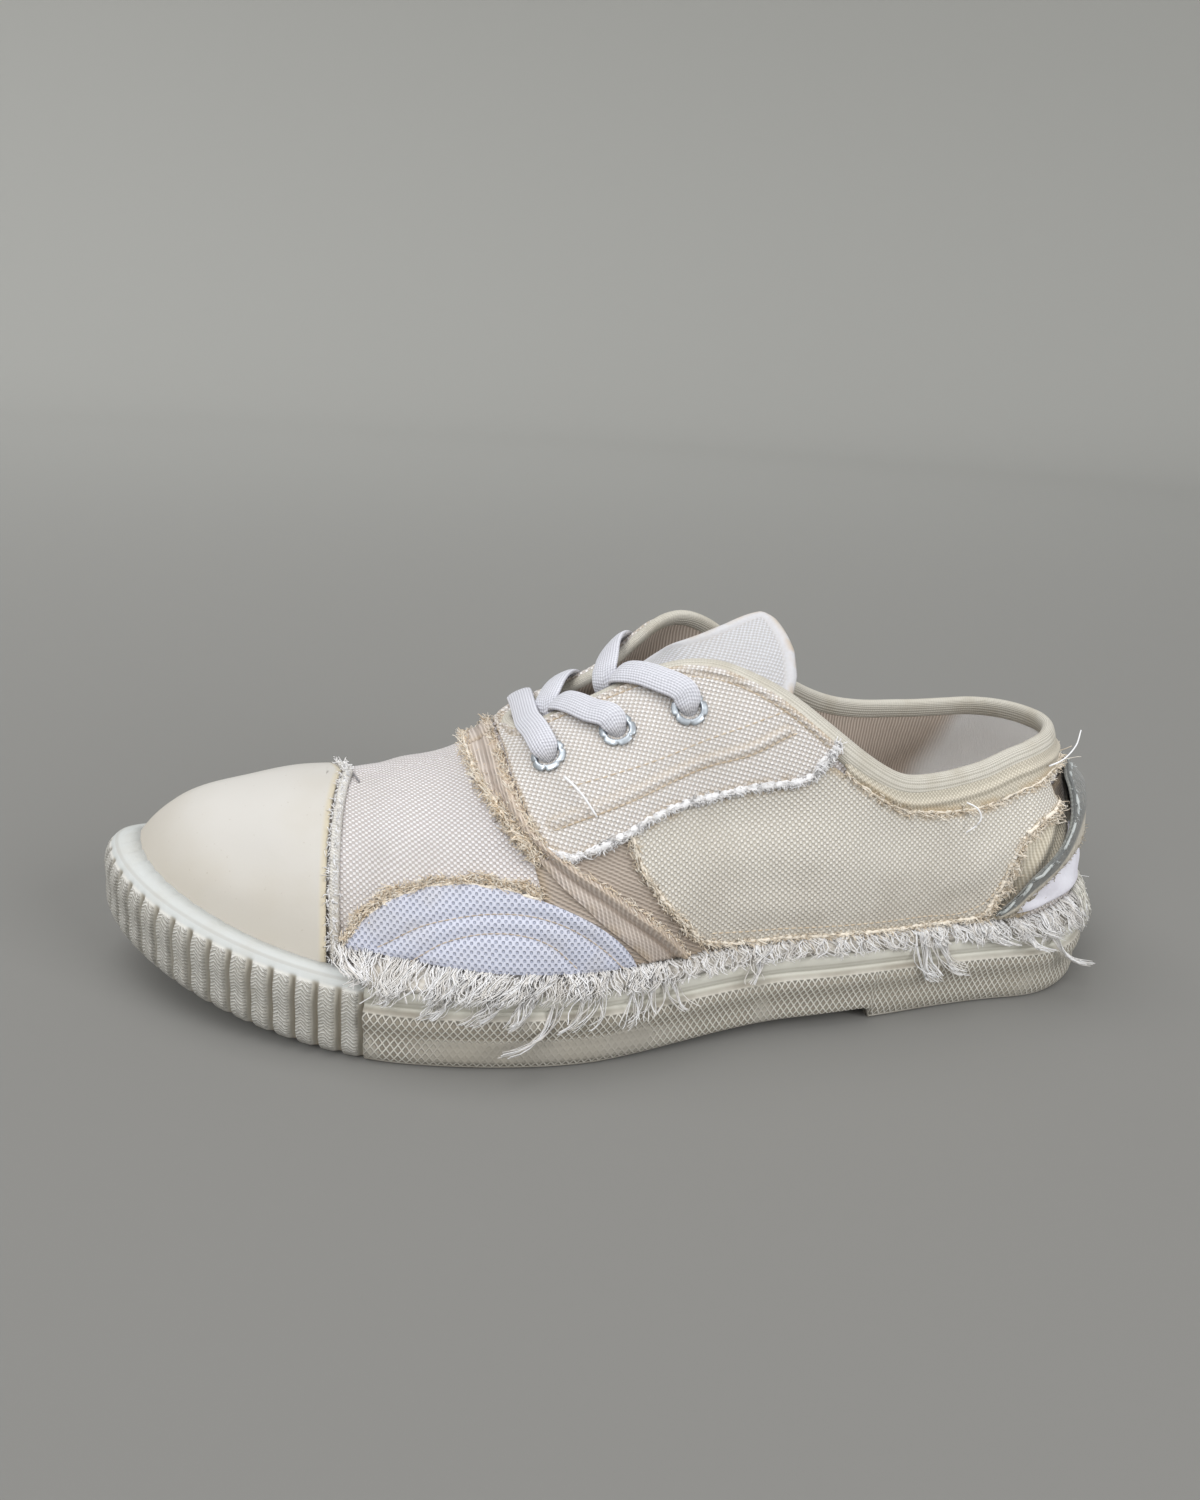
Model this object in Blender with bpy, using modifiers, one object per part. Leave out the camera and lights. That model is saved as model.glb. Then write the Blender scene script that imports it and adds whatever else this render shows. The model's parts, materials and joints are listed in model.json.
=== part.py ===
"""Worn canvas sneaker, left foot.

Lengths below are millimetres, counted from the toe: x runs from the toe tip back to the heel,
y is negative on the outer side of the foot and positive on the inner side, z is up from the floor.
Objects are placed in metres, with the origin on the floor under the middle of the heel, so that
the toe points to -X and the outer side to -Y.
"""
import bpy
import bmesh
import numpy as np

MM = 0.001
OUTER, INNER = -1, 1
SIDES = ((OUTER, "outer"), (INNER, "inner"))

# ---------------------------------------------------------------- driving sizes
LENGTH = 300.0
TOE_TIP_Y = 16.0
TOE_X = 61.5
HEEL_X = 262.0
HEEL_ARC = 54.0
LAST_STATION = HEEL_X + HEEL_ARC
HEEL_POWER = 2.25
# half outline of the sole: widest point at the ball, narrowest at the waist, then the heel
OUTLINE = {
    OUTER: dict(ball_x=121.0, ball_y=56.0, toe_power=1.80, waist_x=190.0, waist_y=46.5, heel_y=40.0),
    INNER: dict(ball_x=92.0, ball_y=49.5, toe_power=2.15, waist_x=182.0, waist_y=34.0, heel_y=40.0),
}
TOE_SPRING, SPRING_LENGTH, SPRING_POWER = 16.5, 80.0, 1.8
ARCH_START, HEEL_BREAST, BREAST_HEIGHT = 130.0, 213.0, 4.2
SHANK_START, SHANK_END, SHANK_RISE = 140.0, 260.0, 1.2

PLATE_THICKNESS = 5.5
FOXING_LIFT = 0.5
GAP = 0.35
UPPER_WALL = 2.0
CAP_THICKNESS, CAP_FOOT = 1.55, 1.2
# rubber wall round the foot: x, wall thickness, room left for the toe cap
RUBBER = np.array([
    (0, 6.0, 1.9),
    (70, 6.0, 1.9),
    (92, 4.2, 0.5),
    (104, 3.5, 0.0),
    (316, 3.5, 0.0),
])

# last: x, crown height, crown y, fullness outer, fullness inner, swell outer, swell inner
SECTIONS = np.array([
    (8, 56.5, 11.0, 2.45, 2.45, 0.0, 0.0),
    (40, 56.5, 11.0, 2.22, 2.40, 0.0, 0.0),
    (61.5, 56.5, 11.0, 2.13, 2.30, 0.0, 0.0),
    (80, 59.3, 9.6, 2.10, 2.30, 0.8, 0.4),
    (95, 63.2, 7.8, 2.05, 2.35, 1.6, 0.8),
    (107, 70.0, 6.0, 2.00, 2.30, 2.0, 1.0),
    (118, 78.5, 4.2, 1.96, 2.15, 2.0, 1.0),
    (126, 83.6, 3.0, 1.97, 2.05, 1.8, 0.8),
    (134, 88.2, 2.6, 1.98, 2.00, 1.6, 0.6),
    (142, 93.5, 3.4, 1.95, 2.05, 1.3, 0.3),
    (150, 100.0, 5.2, 1.88, 2.40, 1.0, 0.0),
    (158, 106.2, 6.8, 1.82, 2.70, 0.7, 0.0),
    (164, 109.2, 7.4, 1.84, 2.80, 0.5, 0.0),
    (178, 111.8, 6.5, 1.95, 2.70, 0.0, 0.0),
    (200, 111.0, 3.5, 2.05, 2.40, 0.5, 0.5),
    (230, 107.0, 1.0, 1.95, 2.10, 1.5, 1.2),
    (262, 105.0, 0.0, 1.58, 1.62, 3.2, 3.0),
    (289, 104.0, 0.0, 1.45, 1.48, 3.4, 3.4),
    (316, 103.0, 0.0, 1.58, 1.58, 3.0, 3.0),
])

# throat: x, distance of the opening from the crown line on the outer and inner side
THROAT_X, THROAT_ROUND = 115.0, 7.0
THROAT = np.array([
    (115, 7.0, 6.5),
    (127, 7.2, 6.6),
    (136, 8.3, 7.1),
    (145, 10.6, 7.8),
    (158, 16.0, 8.9),
])
# collar: x (along the outline behind the heel's centre), height of the topline outer and inner
COLLAR = np.array([
    (172, 99.5, 104.0),
    (182, 95.0, 97.5),
    (194, 86.5, 88.5),
    (206, 78.0, 81.0),
    (218, 72.0, 76.0),
    (231, 71.0, 74.0),
    (246, 72.4, 74.8),
    (262, 76.3, 76.5),
    (289, 78.5, 78.5),
    (316, 79.0, 79.0),
])
EDGE_DROP = 4.8

ROWS = 6
TOE_COLUMNS = (9.0, 11.5, 16.5, 24.0, 34.0, 47.0)
THROAT_COLUMNS = tuple(THROAT_X - EDGE_DROP + step for step in (0.0, 0.8, 3.0, 7.0))
BODY_COLUMNS = (TOE_X, 66.0, 77.0, 90.0, 101.0) + THROAT_COLUMNS + (
    124.0, 132.0, 141.0, 151.0, 161.0, 172.0, 183.0, 194.0, 205.0, 218.0, 232.0, 247.0, 262.0)
HEEL_COLUMNS = tuple(HEEL_X + HEEL_ARC * k / 5 for k in range(1, 6))


# ---------------------------------------------------------------- curves through the tables
def smooth(x, xs, ys):
    """Smooth curve through the rows of a table, with flat continuation past its ends."""
    xs, ys = np.asarray(xs, float), np.asarray(ys, float)
    x = np.clip(np.asarray(x, float), xs[0], xs[-1])
    slope = np.gradient(ys, xs)
    i = np.clip(np.searchsorted(xs, x, side="right") - 1, 0, len(xs) - 2)
    span = xs[i + 1] - xs[i]
    t = (x - xs[i]) / span
    rise = t * t * (3 - 2 * t)
    tangents = t * (1 - t) * ((1 - t) * slope[i] - t * slope[i + 1]) * span
    return ys[i] * (1 - rise) + ys[i + 1] * rise + tangents


def section(x, column):
    return smooth(x, SECTIONS[:, 0], SECTIONS[:, column])


def ease(x, x0, y0, x1, y1):
    t = np.clip((x - x0) / (x1 - x0), 0, 1)
    return y0 + (y1 - y0) * t * t * (3 - 2 * t)


def outline(side, s):
    """Plan of the sole's edge. s is x up to the heel's centre, then the way round the heel."""
    k = OUTLINE[side]
    s = np.asarray(s, float)
    reach = k["ball_y"] - side * TOE_TIP_Y
    rest = np.clip(1 - s / k["ball_x"], 0, 1)
    toe = side * TOE_TIP_Y + reach * (1 - rest ** k["toe_power"]) ** (1 / k["toe_power"])
    front = ease(s, k["ball_x"], k["ball_y"], k["waist_x"], k["waist_y"])
    rear = ease(s, k["waist_x"], k["waist_y"], HEEL_X, k["heel_y"])
    turn = np.clip((s - HEEL_X) / HEEL_ARC, 0, 1) * np.pi / 2
    heel = k["heel_y"] * np.clip(np.cos(turn), 0, 1) ** (2 / HEEL_POWER)
    y = np.where(s < k["ball_x"], toe, np.where(s < k["waist_x"], front, np.where(s < HEEL_X, rear, heel)))
    x = np.where(s < HEEL_X, s, HEEL_X + (LENGTH - HEEL_X) * np.sin(turn) ** (2 / HEEL_POWER))
    return np.stack([x, side * y], -1)


def inward(side, s):
    """Unit vector in plan from the outline towards the foot, square to the outline."""
    step = 0.05
    s = np.asarray(s, float)
    along = outline(side, np.minimum(s + step, LAST_STATION)) - outline(side, np.maximum(s - step, 0))
    square = np.stack([along[..., 1], -along[..., 0]], -1) * side
    square = square / np.linalg.norm(square, axis=-1, keepdims=True)
    square[s <= 0] = (1, 0)
    square[s >= LAST_STATION] = (-1, 0)
    return square


def spring(x):
    return TOE_SPRING * np.clip(1 - x / SPRING_LENGTH, 0, 1) ** SPRING_POWER


def bottom(x):
    """Height of the underside: toe spring, flat ball, arch up to the heel breast, flat heel."""
    arch = BREAST_HEIGHT * np.clip((x - ARCH_START) / (HEEL_BREAST - ARCH_START), 0, 1)
    return spring(x) + np.where(x < HEEL_BREAST, arch, 0)


def bed(x):
    """Height that the plate, the feather and the side's lines follow, smooth over the breast."""
    t = np.clip((x - SHANK_START) / (SHANK_END - SHANK_START), 0, 1)
    return spring(x) + SHANK_RISE * np.sin(np.pi * t) ** 2


def rubber_wall(s):
    return np.interp(s, RUBBER[:, 0], RUBBER[:, 1])


def cap_room(s):
    return np.interp(s, RUBBER[:, 0], RUBBER[:, 2])


def plate_inset(s):
    return rubber_wall(s) + GAP


def last_inset(s):
    return rubber_wall(s) + cap_room(s) + GAP


def insole_inset(s):
    return last_inset(s) + UPPER_WALL + INSOLE_CLEAR


def inner_line(side, s, inset):
    """Plan of a line set in from the sole's edge."""
    return outline(side, s) + inward(side, s) * inset(s)[..., None]


def station(side, x, inset=last_inset):
    """Station whose point on the inner line lies at x."""
    s = np.linspace(0, HEEL_X, 2400)
    return np.interp(x, np.maximum.accumulate(inner_line(side, s, inset)[:, 0]), s)


# ---------------------------------------------------------------- surface of the last
def rib(side, s):
    """One rib of the last: foot, direction to the crown, reach, base height, rise, fullness, swell."""
    foot = inner_line(side, s, last_inset)
    axis_x = np.clip(foot[..., 0], TOE_X, HEEL_X)
    at = np.where(s > HEEL_X, s, foot[..., 0])
    crown = np.stack([axis_x, section(axis_x, 2)], -1)
    reach = np.linalg.norm(crown - foot, axis=-1)
    way = (crown - foot) / reach[..., None]
    base = bed(foot[..., 0]) + PLATE_THICKNESS + GAP
    rise = section(axis_x, 1) - base
    full = section(at, 3 if side == OUTER else 4)
    swell = section(at, 5 if side == OUTER else 6)
    return foot, way, reach, base, rise, full, swell


def last_point(side, s, angle):
    """Point on the last; angle runs from 0 at the lower edge to 90 degrees at the crown."""
    s = np.asarray(s, float)
    foot, way, reach, base, rise, full, swell = rib(side, s)
    up = np.clip(np.sin(angle), 0, 1) ** (2 / full)
    over = 1 - np.clip(np.cos(angle), 0, 1) ** (2 / full)
    bulge = swell * np.sin(np.pi * np.clip(up / 0.7, 0, 1)) ** 2
    plan = foot + way * (reach * over - bulge)[..., None]
    return np.concatenate([plan, (base + rise * up)[..., None]], -1)


def skin(side, s, angle, offset=0.0):
    """Point on the last moved out along the surface's normal by offset."""
    s, angle = np.broadcast_arrays(np.asarray(s, float), np.asarray(angle, float))
    ds, da = 0.3, 0.004
    along = (last_point(side, np.minimum(s + ds, LAST_STATION), angle)
             - last_point(side, np.maximum(s - ds, 0), angle))
    upward = (last_point(side, s, np.minimum(angle + da, np.pi / 2))
              - last_point(side, s, np.maximum(angle - da, 0)))
    normal = np.cross(along, upward) * -side
    normal[s >= LAST_STATION, 1] = 0
    normal = normal / np.maximum(np.linalg.norm(normal, axis=-1, keepdims=True), 1e-9)
    offset = np.broadcast_to(np.asarray(offset, float), s.shape)
    return last_point(side, s, angle) + normal * offset[..., None]


def angle_at_height(side, s, z):
    _, _, _, base, rise, full, _ = rib(side, s)
    return np.arcsin(np.clip((z - base) / rise, 0, 1) ** (full / 2))


def angle_at_gap(side, s, gap):
    _, _, reach, _, _, full, _ = rib(side, s)
    return np.arccos(np.clip(gap / reach, 0, 1) ** (full / 2))


def settled_angle(side, s, drop):
    """Angle at which a rib ends, without the round front of the throat."""
    column = 1 if side == OUTER else 2
    throat_s, collar_s = THROAT[:, 0], COLLAR[:, 0]
    throat = angle_at_gap(side, throat_s, THROAT[:, column] + drop)
    collar = angle_at_height(side, collar_s, COLLAR[:, column] - drop)
    return smooth(s, np.concatenate([throat_s, collar_s]), np.concatenate([throat, collar]))


def opening_angle(side, s, drop=0.0):
    """Angle at which a rib ends, drop millimetres outside the throat and collar opening."""
    s = np.asarray(s, float)
    angle = settled_angle(side, s, drop)
    _, _, reach, _, _, full, _ = rib(side, s)
    t = np.clip((s - THROAT_X + drop) / THROAT_ROUND, 0, 1)
    gap = reach * np.cos(angle) ** (2 / full) * np.sqrt(1 - (1 - t) ** 2)
    return angle_at_gap(side, s, gap)


def columns(side, first=0.0, last=LAST_STATION, inset=last_inset):
    """Stations from first to last x, the same x on both sides so that the halves meet."""
    x = np.concatenate([[0.0], TOE_COLUMNS, BODY_COLUMNS, HEEL_COLUMNS])
    s = np.concatenate([[0.0], station(side, x[1:-len(HEEL_COLUMNS)], inset), HEEL_COLUMNS])
    return s[(x >= first) & (x <= last)]


def rib_angles(side, s, drop, rows):
    """Angles of the rows up to the opening; only the top rows feel the throat's round front."""
    share = np.linspace(0, 1, rows + 1)
    end = opening_angle(side, s, drop)
    settled = settled_angle(side, s, drop)
    vamp = 1 - ease(s, 72.0, 0.0, 126.0, 1.0)
    nominal = settled + (np.pi / 2 - settled) * vamp
    return nominal[:, None] * share + (end - nominal)[:, None] * share ** 8


# ---------------------------------------------------------------- mesh helpers
def collection(name):
    made = bpy.data.collections.new(name)
    bpy.context.scene.collection.children.link(made)
    return made


for old in list(bpy.data.objects):
    bpy.data.objects.remove(old)
PARTS = collection("worn_sneaker")
CUTTERS = collection("cutters")


def material(name, colour, roughness, metallic=0.0):
    made = bpy.data.materials.new(name)
    made.use_nodes = True
    surface = made.node_tree.nodes["Principled BSDF"]
    surface.inputs["Base Color"].default_value = (*colour, 1.0)
    surface.inputs["Roughness"].default_value = roughness
    surface.inputs["Metallic"].default_value = metallic
    return made


def to_world(points):
    return (np.asarray(points, float) - (HEEL_X, 0, 0)) * MM


def add_mesh(name, points, faces, surface=None, closed=True):
    """Object from points in shoe millimetres, with doubles welded; without a material, a cutter."""
    mesh = bpy.data.meshes.new(name)
    mesh.from_pydata(to_world(points).tolist(), [], [list(map(int, f)) for f in faces])
    work = bmesh.new()
    work.from_mesh(mesh)
    bmesh.ops.remove_doubles(work, verts=work.verts, dist=0.00003)
    bmesh.ops.dissolve_degenerate(work, edges=work.edges, dist=0.00001)
    bmesh.ops.triangulate(work, faces=work.faces)
    if closed:
        bmesh.ops.recalc_face_normals(work, faces=work.faces)
    work.to_mesh(mesh)
    work.free()
    made = bpy.data.objects.new(name, mesh)
    (PARTS if surface else CUTTERS).objects.link(made)
    if surface:
        mesh.materials.append(surface)
        mesh.shade_smooth()
        mesh.set_sharp_from_angle(angle=np.radians(40))
    else:
        made.hide_render = True
        made.display_type = "WIRE"
    return made


def grid_faces(width, height, turned=False, start=0, round_trip=False):
    """Triangles of a grid of points stored column after column."""
    faces = []
    for c in range(width if round_trip else width - 1):
        d = (c + 1) % width
        for r in range(height - 1):
            a, b = start + c * height + r, start + d * height + r
            quad = (a, b, b + 1, a + 1)
            faces += [quad[:3], (quad[0], quad[2], quad[3])]
    return [f[::-1] for f in faces] if turned else faces


def skin_sheet(name, parts, surface):
    """Open sheet on the last from (side, points[column, row]) grids, faces outward."""
    points, faces, start = [], [], 0
    for side, grid in parts:
        width, height = grid.shape[:2]
        faces += grid_faces(width, height, side == INNER, start)
        points.append(grid.reshape(-1, 3))
        start += width * height
    return add_mesh(name, np.concatenate(points), faces, surface, closed=False)


def solidify(made, thickness, outward):
    shell = made.modifiers.new("wall", "SOLIDIFY")
    shell.thickness = thickness * MM
    shell.offset = 1 if outward else -1
    return made


def boolean(made, cutter, operation):
    cut = made.modifiers.new(operation.lower(), "BOOLEAN")
    cut.operation = operation
    cut.object = cutter
    cut.solver = "EXACT"
    return made


def between(low, high, rows):
    """Angles of equal rows between two angles per station."""
    return low[:, None] + (high - low)[:, None] * np.linspace(0, 1, rows + 1)


def last_grid(side, stations, angles, offset):
    """Points of the last, stored as [column, row]."""
    s = np.broadcast_to(stations[:, None], angles.shape)
    return skin(side, s, angles, offset)


def loft(name, sections, surface):
    """Closed solid through equal rings of points, capped at both ends."""
    count, size = sections.shape[:2]
    faces = []
    for c in range(count - 1):
        for r in range(size):
            a, b = c * size + r, c * size + (r + 1) % size
            faces += [(a, a + size, b + size), (a, b + size, b)]
    faces += [tuple(range(size)), tuple(range((count - 1) * size, count * size))]
    return add_mesh(name, sections.reshape(-1, 3), faces, surface)


# ---------------------------------------------------------------- sole unit
RUBBER_WHITE = material("rubber_white", (0.60, 0.59, 0.52), 0.6)
RUBBER_CREAM = material("rubber_cream", (0.72, 0.66, 0.50), 0.5)
RUBBER_TREAD = material("rubber_tread", (0.50, 0.48, 0.42), 0.75)
CANVAS = material("canvas", (0.66, 0.62, 0.54), 0.9)
CANVAS_PALE = material("canvas_pale", (0.72, 0.69, 0.62), 0.9)
TWILL = material("twill", (0.55, 0.47, 0.37), 0.95)
PATCH_CLOTH = material("patch_cloth", (0.68, 0.68, 0.72), 0.7)
TAPE = material("binding_tape", (0.58, 0.55, 0.47), 0.9)
FELT = material("grey_felt", (0.38, 0.39, 0.37), 0.95)
FRAY = material("fray", (0.70, 0.67, 0.60), 0.95)
FOOTBED = material("footbed", (0.42, 0.36, 0.28), 0.95)
LACE = material("lace", (0.74, 0.74, 0.76), 0.85)
METAL = material("eyelet_metal", (0.60, 0.62, 0.64), 0.35, 1.0)


def plan_point(side, s, out, height):
    """Points off the sole's edge: out millimetres outward, height over the underside."""
    plan = outline(side, s) - inward(side, s) * np.broadcast_to(out, s.shape)[..., None]
    z = bed(plan[..., 0]) + height
    return np.concatenate([plan, z[..., None]], -1)


def slab(name, inset, low, high, surface):
    """Plate across the foot between two surfaces that depend on x alone."""
    rows = []
    for side, _ in SIDES:
        plan = inner_line(side, columns(side, inset=inset), inset)
        for level in (low, high):
            rows.append(np.column_stack([plan, level(plan[:, 0])]))
    count = len(rows[0])
    faces = []
    for i in range(count - 1):
        for a, b in ((0, 1), (1, 3), (3, 2), (2, 0)):
            p, q = a * count + i, b * count + i
            faces += [(p, p + 1, q + 1), (p, q + 1, q)]
    return add_mesh(name, np.concatenate(rows), faces, surface)


def make_grooves():
    """Bars across the sole, as deep as the tread's grooves."""
    points, faces = [], []
    for x in GROOVES:
        start = len(points)
        for dx in (-GROOVE_WIDTH / 2, GROOVE_WIDTH / 2):
            for y in (-LENGTH / 4, LENGTH / 4):
                for z in (-GROOVE_DEPTH, GROOVE_DEPTH):
                    points.append((x + dx, y, z))
        for face in ((0, 1, 3, 2), (4, 6, 7, 5), (0, 4, 5, 1), (2, 3, 7, 6), (0, 2, 6, 4), (1, 5, 7, 3)):
            faces.append([start + k for k in face])
    return add_mesh("tread_grooves", points, faces)


def make_outsole():
    plate = slab("outsole", plate_inset, bottom, lambda x: bed(x) + PLATE_THICKNESS, RUBBER_TREAD)
    return boolean(plate, make_grooves(), "DIFFERENCE")


def make_insole():
    under = PLATE_THICKNESS + GAP
    over = under + INSOLE_THICKNESS
    return slab("insole", insole_inset, lambda x: bed(x) + under, lambda x: bed(x) + over, FOOTBED)


GROOVES = (86, 94, 108, 116, 124, 226, 236, 282)
GROOVE_WIDTH, GROOVE_DEPTH = 2.4, 1.4
INSOLE_CLEAR, INSOLE_THICKNESS = 0.8, 3.2

# side of the sole: height over the underside, outward step of the face
FOXING_PROFILE = np.array([
    (FOXING_LIFT, -0.9),
    (1.8, 0.0),
    (9.0, 0.35),
    (16.6, 0.0),
    (17.3, -0.9),
    (18.4, -0.45),
    (21.2, -0.55),
    (22.8, -1.7),
])
BUMPER_END, JOINT = 70.0, 0.4
RIBS_OUTER = 16
RIB_CREST = (0.24, 0.76)
# ribbed strip round the toe: height, outward step of a crest, outward step of a groove
BUMPER_PROFILE = np.array([
    (FOXING_LIFT, -1.2, -1.6),
    (2.0, 0.0, -1.5),
    (15.2, 0.1, -1.4),
    (16.8, -1.0, -1.7),
    (18.2, -0.8, -0.8),
    (20.6, -1.7, -1.7),
    (22.4, -4.2, -4.2),
])
INNER_HEIGHTS = (0.96, 0.6)


def rubber_rings(side, s, heights, out):
    """Section rings of a rubber strip: outer face from the profile, inner face along the last."""
    outer = np.stack([plan_point(side, s, out[:, k], h) for k, h in enumerate(heights)], 1)
    outer[:, :2, 2] += bottom(outer[:, :2, 0]) - bed(outer[:, :2, 0])
    inner = []
    for share in INNER_HEIGHTS:
        angle = angle_at_height(side, s, bed(outer[:, 0, 0]) + heights[-1] * share)
        inner.append(skin(side, s, angle, cap_room(s) + GAP))
    wall = -rubber_wall(s)
    inner.append(plan_point(side, s, wall, PLATE_THICKNESS))
    inner.append(plan_point(side, s, wall, FOXING_LIFT))
    inner[-1][:, 2] += bottom(inner[-1][:, 0]) - bed(inner[-1][:, 0])
    return np.concatenate([outer, np.stack(inner, 1)], 1)


def make_foxing():
    rings = []
    for side, _ in SIDES:
        s = np.concatenate([[BUMPER_END + JOINT], columns(side, BUMPER_END + 5)])
        out = np.broadcast_to(FOXING_PROFILE[:, 1], (len(s), len(FOXING_PROFILE)))
        rings.append(rubber_rings(side, s, FOXING_PROFILE[:, 0], out))
    path = np.concatenate([rings[0], rings[1][-2::-1]])
    return loft("foxing", path, RUBBER_WHITE)


def arc_stations(side, end):
    """Stations from the toe tip and the way along the sole's edge to each of them."""
    s = np.linspace(0, end ** 0.5, 1500) ** 2
    steps = np.linalg.norm(np.diff(outline(side, s), axis=0), axis=1)
    return s, np.concatenate([[0], np.cumsum(steps)])


def make_toe_bumper():
    rings, pitch = [], None
    for side, _ in SIDES:
        s, way = arc_stations(side, BUMPER_END)
        ribs = RIBS_OUTER if side == OUTER else round(way[-1] / pitch)
        pitch = way[-1] / ribs
        marks = [(k * pitch, 1.0) for k in range(ribs + 1)]
        marks += [((k + c) * pitch, 0.0) for k in range(ribs) for c in RIB_CREST]
        marks = np.array(sorted(marks))
        at = np.interp(marks[:, 0], way, s)
        groove = marks[:, 1:2]
        out = BUMPER_PROFILE[:, 1] * (1 - groove) + BUMPER_PROFILE[:, 2] * groove
        rings.append(rubber_rings(side, at, BUMPER_PROFILE[:, 0], out))
    path = np.concatenate([rings[0][::-1], rings[1][1:]])
    return loft("toe_bumper", path, RUBBER_WHITE)


def cap_angles(side, s):
    """Rows of the cap and its edge, from just over the plate to the crown."""
    foot = rib(side, s)[3]
    return between(angle_at_height(side, s, foot + CAP_FOOT), np.full(len(s), np.pi / 2), ROWS)


def make_toe_cap():
    parts = []
    for side, _ in SIDES:
        s = columns(side, last=TOE_X)
        parts.append((side, last_grid(side, s, cap_angles(side, s), GAP)))
    return solidify(skin_sheet("toe_cap", parts, RUBBER_CREAM), CAP_THICKNESS, True)


# ---------------------------------------------------------------- upper
def make_upper():
    parts = []
    for side, _ in SIDES:
        s = columns(side)
        parts.append((side, last_grid(side, s, rib_angles(side, s, EDGE_DROP, ROWS), 0.0)))
    return solidify(skin_sheet("upper", parts, CANVAS), UPPER_WALL, False)


BINDING_DROP, BINDING_DEPTH, BINDING_RADIUS = 2.35, 0.7, 2.1


def make_binding():
    """Rolled tape round the whole opening, a closed tube on the upper's edge."""
    front = THROAT_X - BINDING_DROP
    x = np.array((front + 0.4, front + 1.6, front + 3.6) + tuple(c for c in BODY_COLUMNS if c > 115))
    halves = []
    for side, _ in SIDES:
        s = np.concatenate([station(side, x), HEEL_COLUMNS])
        halves.append(skin(side, s, opening_angle(side, s, BINDING_DROP), -BINDING_DEPTH))
    nose = skin(OUTER, station(OUTER, front), np.pi / 2, -BINDING_DEPTH)
    path = to_world(np.concatenate([nose[None], halves[0], halves[1][-2::-1]]))
    curve = bpy.data.curves.new("binding", "CURVE")
    curve.dimensions = "3D"
    curve.bevel_depth = BINDING_RADIUS * MM
    curve.bevel_resolution = 1
    curve.use_fill_caps = True
    spline = curve.splines.new("POLY")
    spline.points.add(len(path) - 1)
    spline.points.foreach_set("co", np.column_stack([path, np.ones(len(path))]).ravel())
    spline.use_cyclic_u = True
    curve.materials.append(TAPE)
    made = bpy.data.objects.new("binding", curve)
    PARTS.objects.link(made)
    return made


# tongue: x, half widths outer and inner, depth of its face under the last at the crown
TONGUE = np.array([
    (95, 11, 11, 3.2),
    (115, 16, 15, 4.4),
    (130, 20, 17, 6.2),
    (145, 23, 18, 7.8),
    (152, 24, 18, 6.8),
    (160, 26, 18, 4.8),
    (170, 28, 18, 3.6),
    (180, 28, 18, 3.2),
    (187, 25, 16, 3.2),
    (190, 20, 13, 3.2),
])
TONGUE_EDGE_DEPTH, TONGUE_THICKNESS, TONGUE_ROWS = 3.2, 2.2, 3


def meet_on_crown(parts):
    """Give both halves the same points on the crown line."""
    middle = (parts[0][1][:, -1] + parts[1][1][:, -1]) / 2
    for _, grid in parts:
        grid[:, -1] = middle


def make_tongue():
    parts = []
    for side, _ in SIDES:
        inside = columns(side, TONGUE[0, 0], 184)
        s = np.concatenate([inside, station(side, TONGUE[-2:, 0])])
        low = angle_at_gap(side, s, smooth(s, TONGUE[:, 0], TONGUE[:, 1 if side == OUTER else 2]))
        angles = between(low, np.full(len(s), np.pi / 2), TONGUE_ROWS)
        sunk = smooth(s, TONGUE[:, 0], TONGUE[:, 3]) - TONGUE_EDGE_DEPTH
        depth = TONGUE_EDGE_DEPTH + sunk[:, None] * np.linspace(0, 1, TONGUE_ROWS + 1) ** 0.5
        parts.append((side, last_grid(side, s, angles, -depth)))
    meet_on_crown(parts)
    return solidify(skin_sheet("tongue", parts, CANVAS_PALE), TONGUE_THICKNESS, False)


# ---------------------------------------------------------------- overlays on the upper
# side views, x and height; each line is read as a smooth curve
EYESTAY_FRONT = np.array([(109.6, 76.0), (110.4, 70.0), (112.8, 63.0), (117.4, 54.5)])
EYESTAY_FOOT = np.array([
    (117.4, 54.5),
    (122.5, 53.6),
    (131.0, 56.4),
    (147.0, 63.8),
    (170.0, 69.0),
    (192.0, 73.6),
    (197.5, 77.0),
])
EYESTAY_REAR = 206.0
QUARTER_FRONT = np.array([(139.5, 58.6), (141.0, 53.0), (146.5, 44.5), (158.5, 31.0)])
QUARTER_REAR = np.array([(249.0, 28.6), (254.0, 37.7), (257.0, 45.0), (264.0, 53.6), (276.0, 59.0)])
QUARTER_TOP_X = (202.0, 209.0, 218.0, 232.0, 247.0, 262.0, 272.0)
SEAM_FRONT = np.array([(101.0, 70.0), (101.8, 65.0), (107.0, 60.5), (115.5, 52.0), (128.4, 40.8), (144.0, 27.4)])
SEAM_REAR = np.array([(109.0, 76.0), (109.6, 70.0), (112.0, 62.6), (116.6, 53.8), (127.5, 46.5), (151.0, 27.4)])
PATCH_CENTRE, PATCH_RADII = (103.2, 20.0), (38.5, 25.0)
PANEL_FOOT, PANEL_GAP, OVER = 27.4, 0.8, 140.0
# thickness of each layer over the upper
EYESTAY_THICKNESS, QUARTER_THICKNESS, PATCH_THICKNESS = 1.4, 0.8, 0.7
SEAM_THICKNESS, BAND_THICKNESS, CAP_EDGE_THICKNESS = 1.2, 0.9, 1.1
CAP_EDGE = (62.0, 65.0)
# band under the binding: x, drop of its lower edge below the topline
BAND = np.array([(205, 8.5), (227, 9.5), (247, 11.8), (262, 12.0), (280, 10.5), (316, 10.5)])
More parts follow.
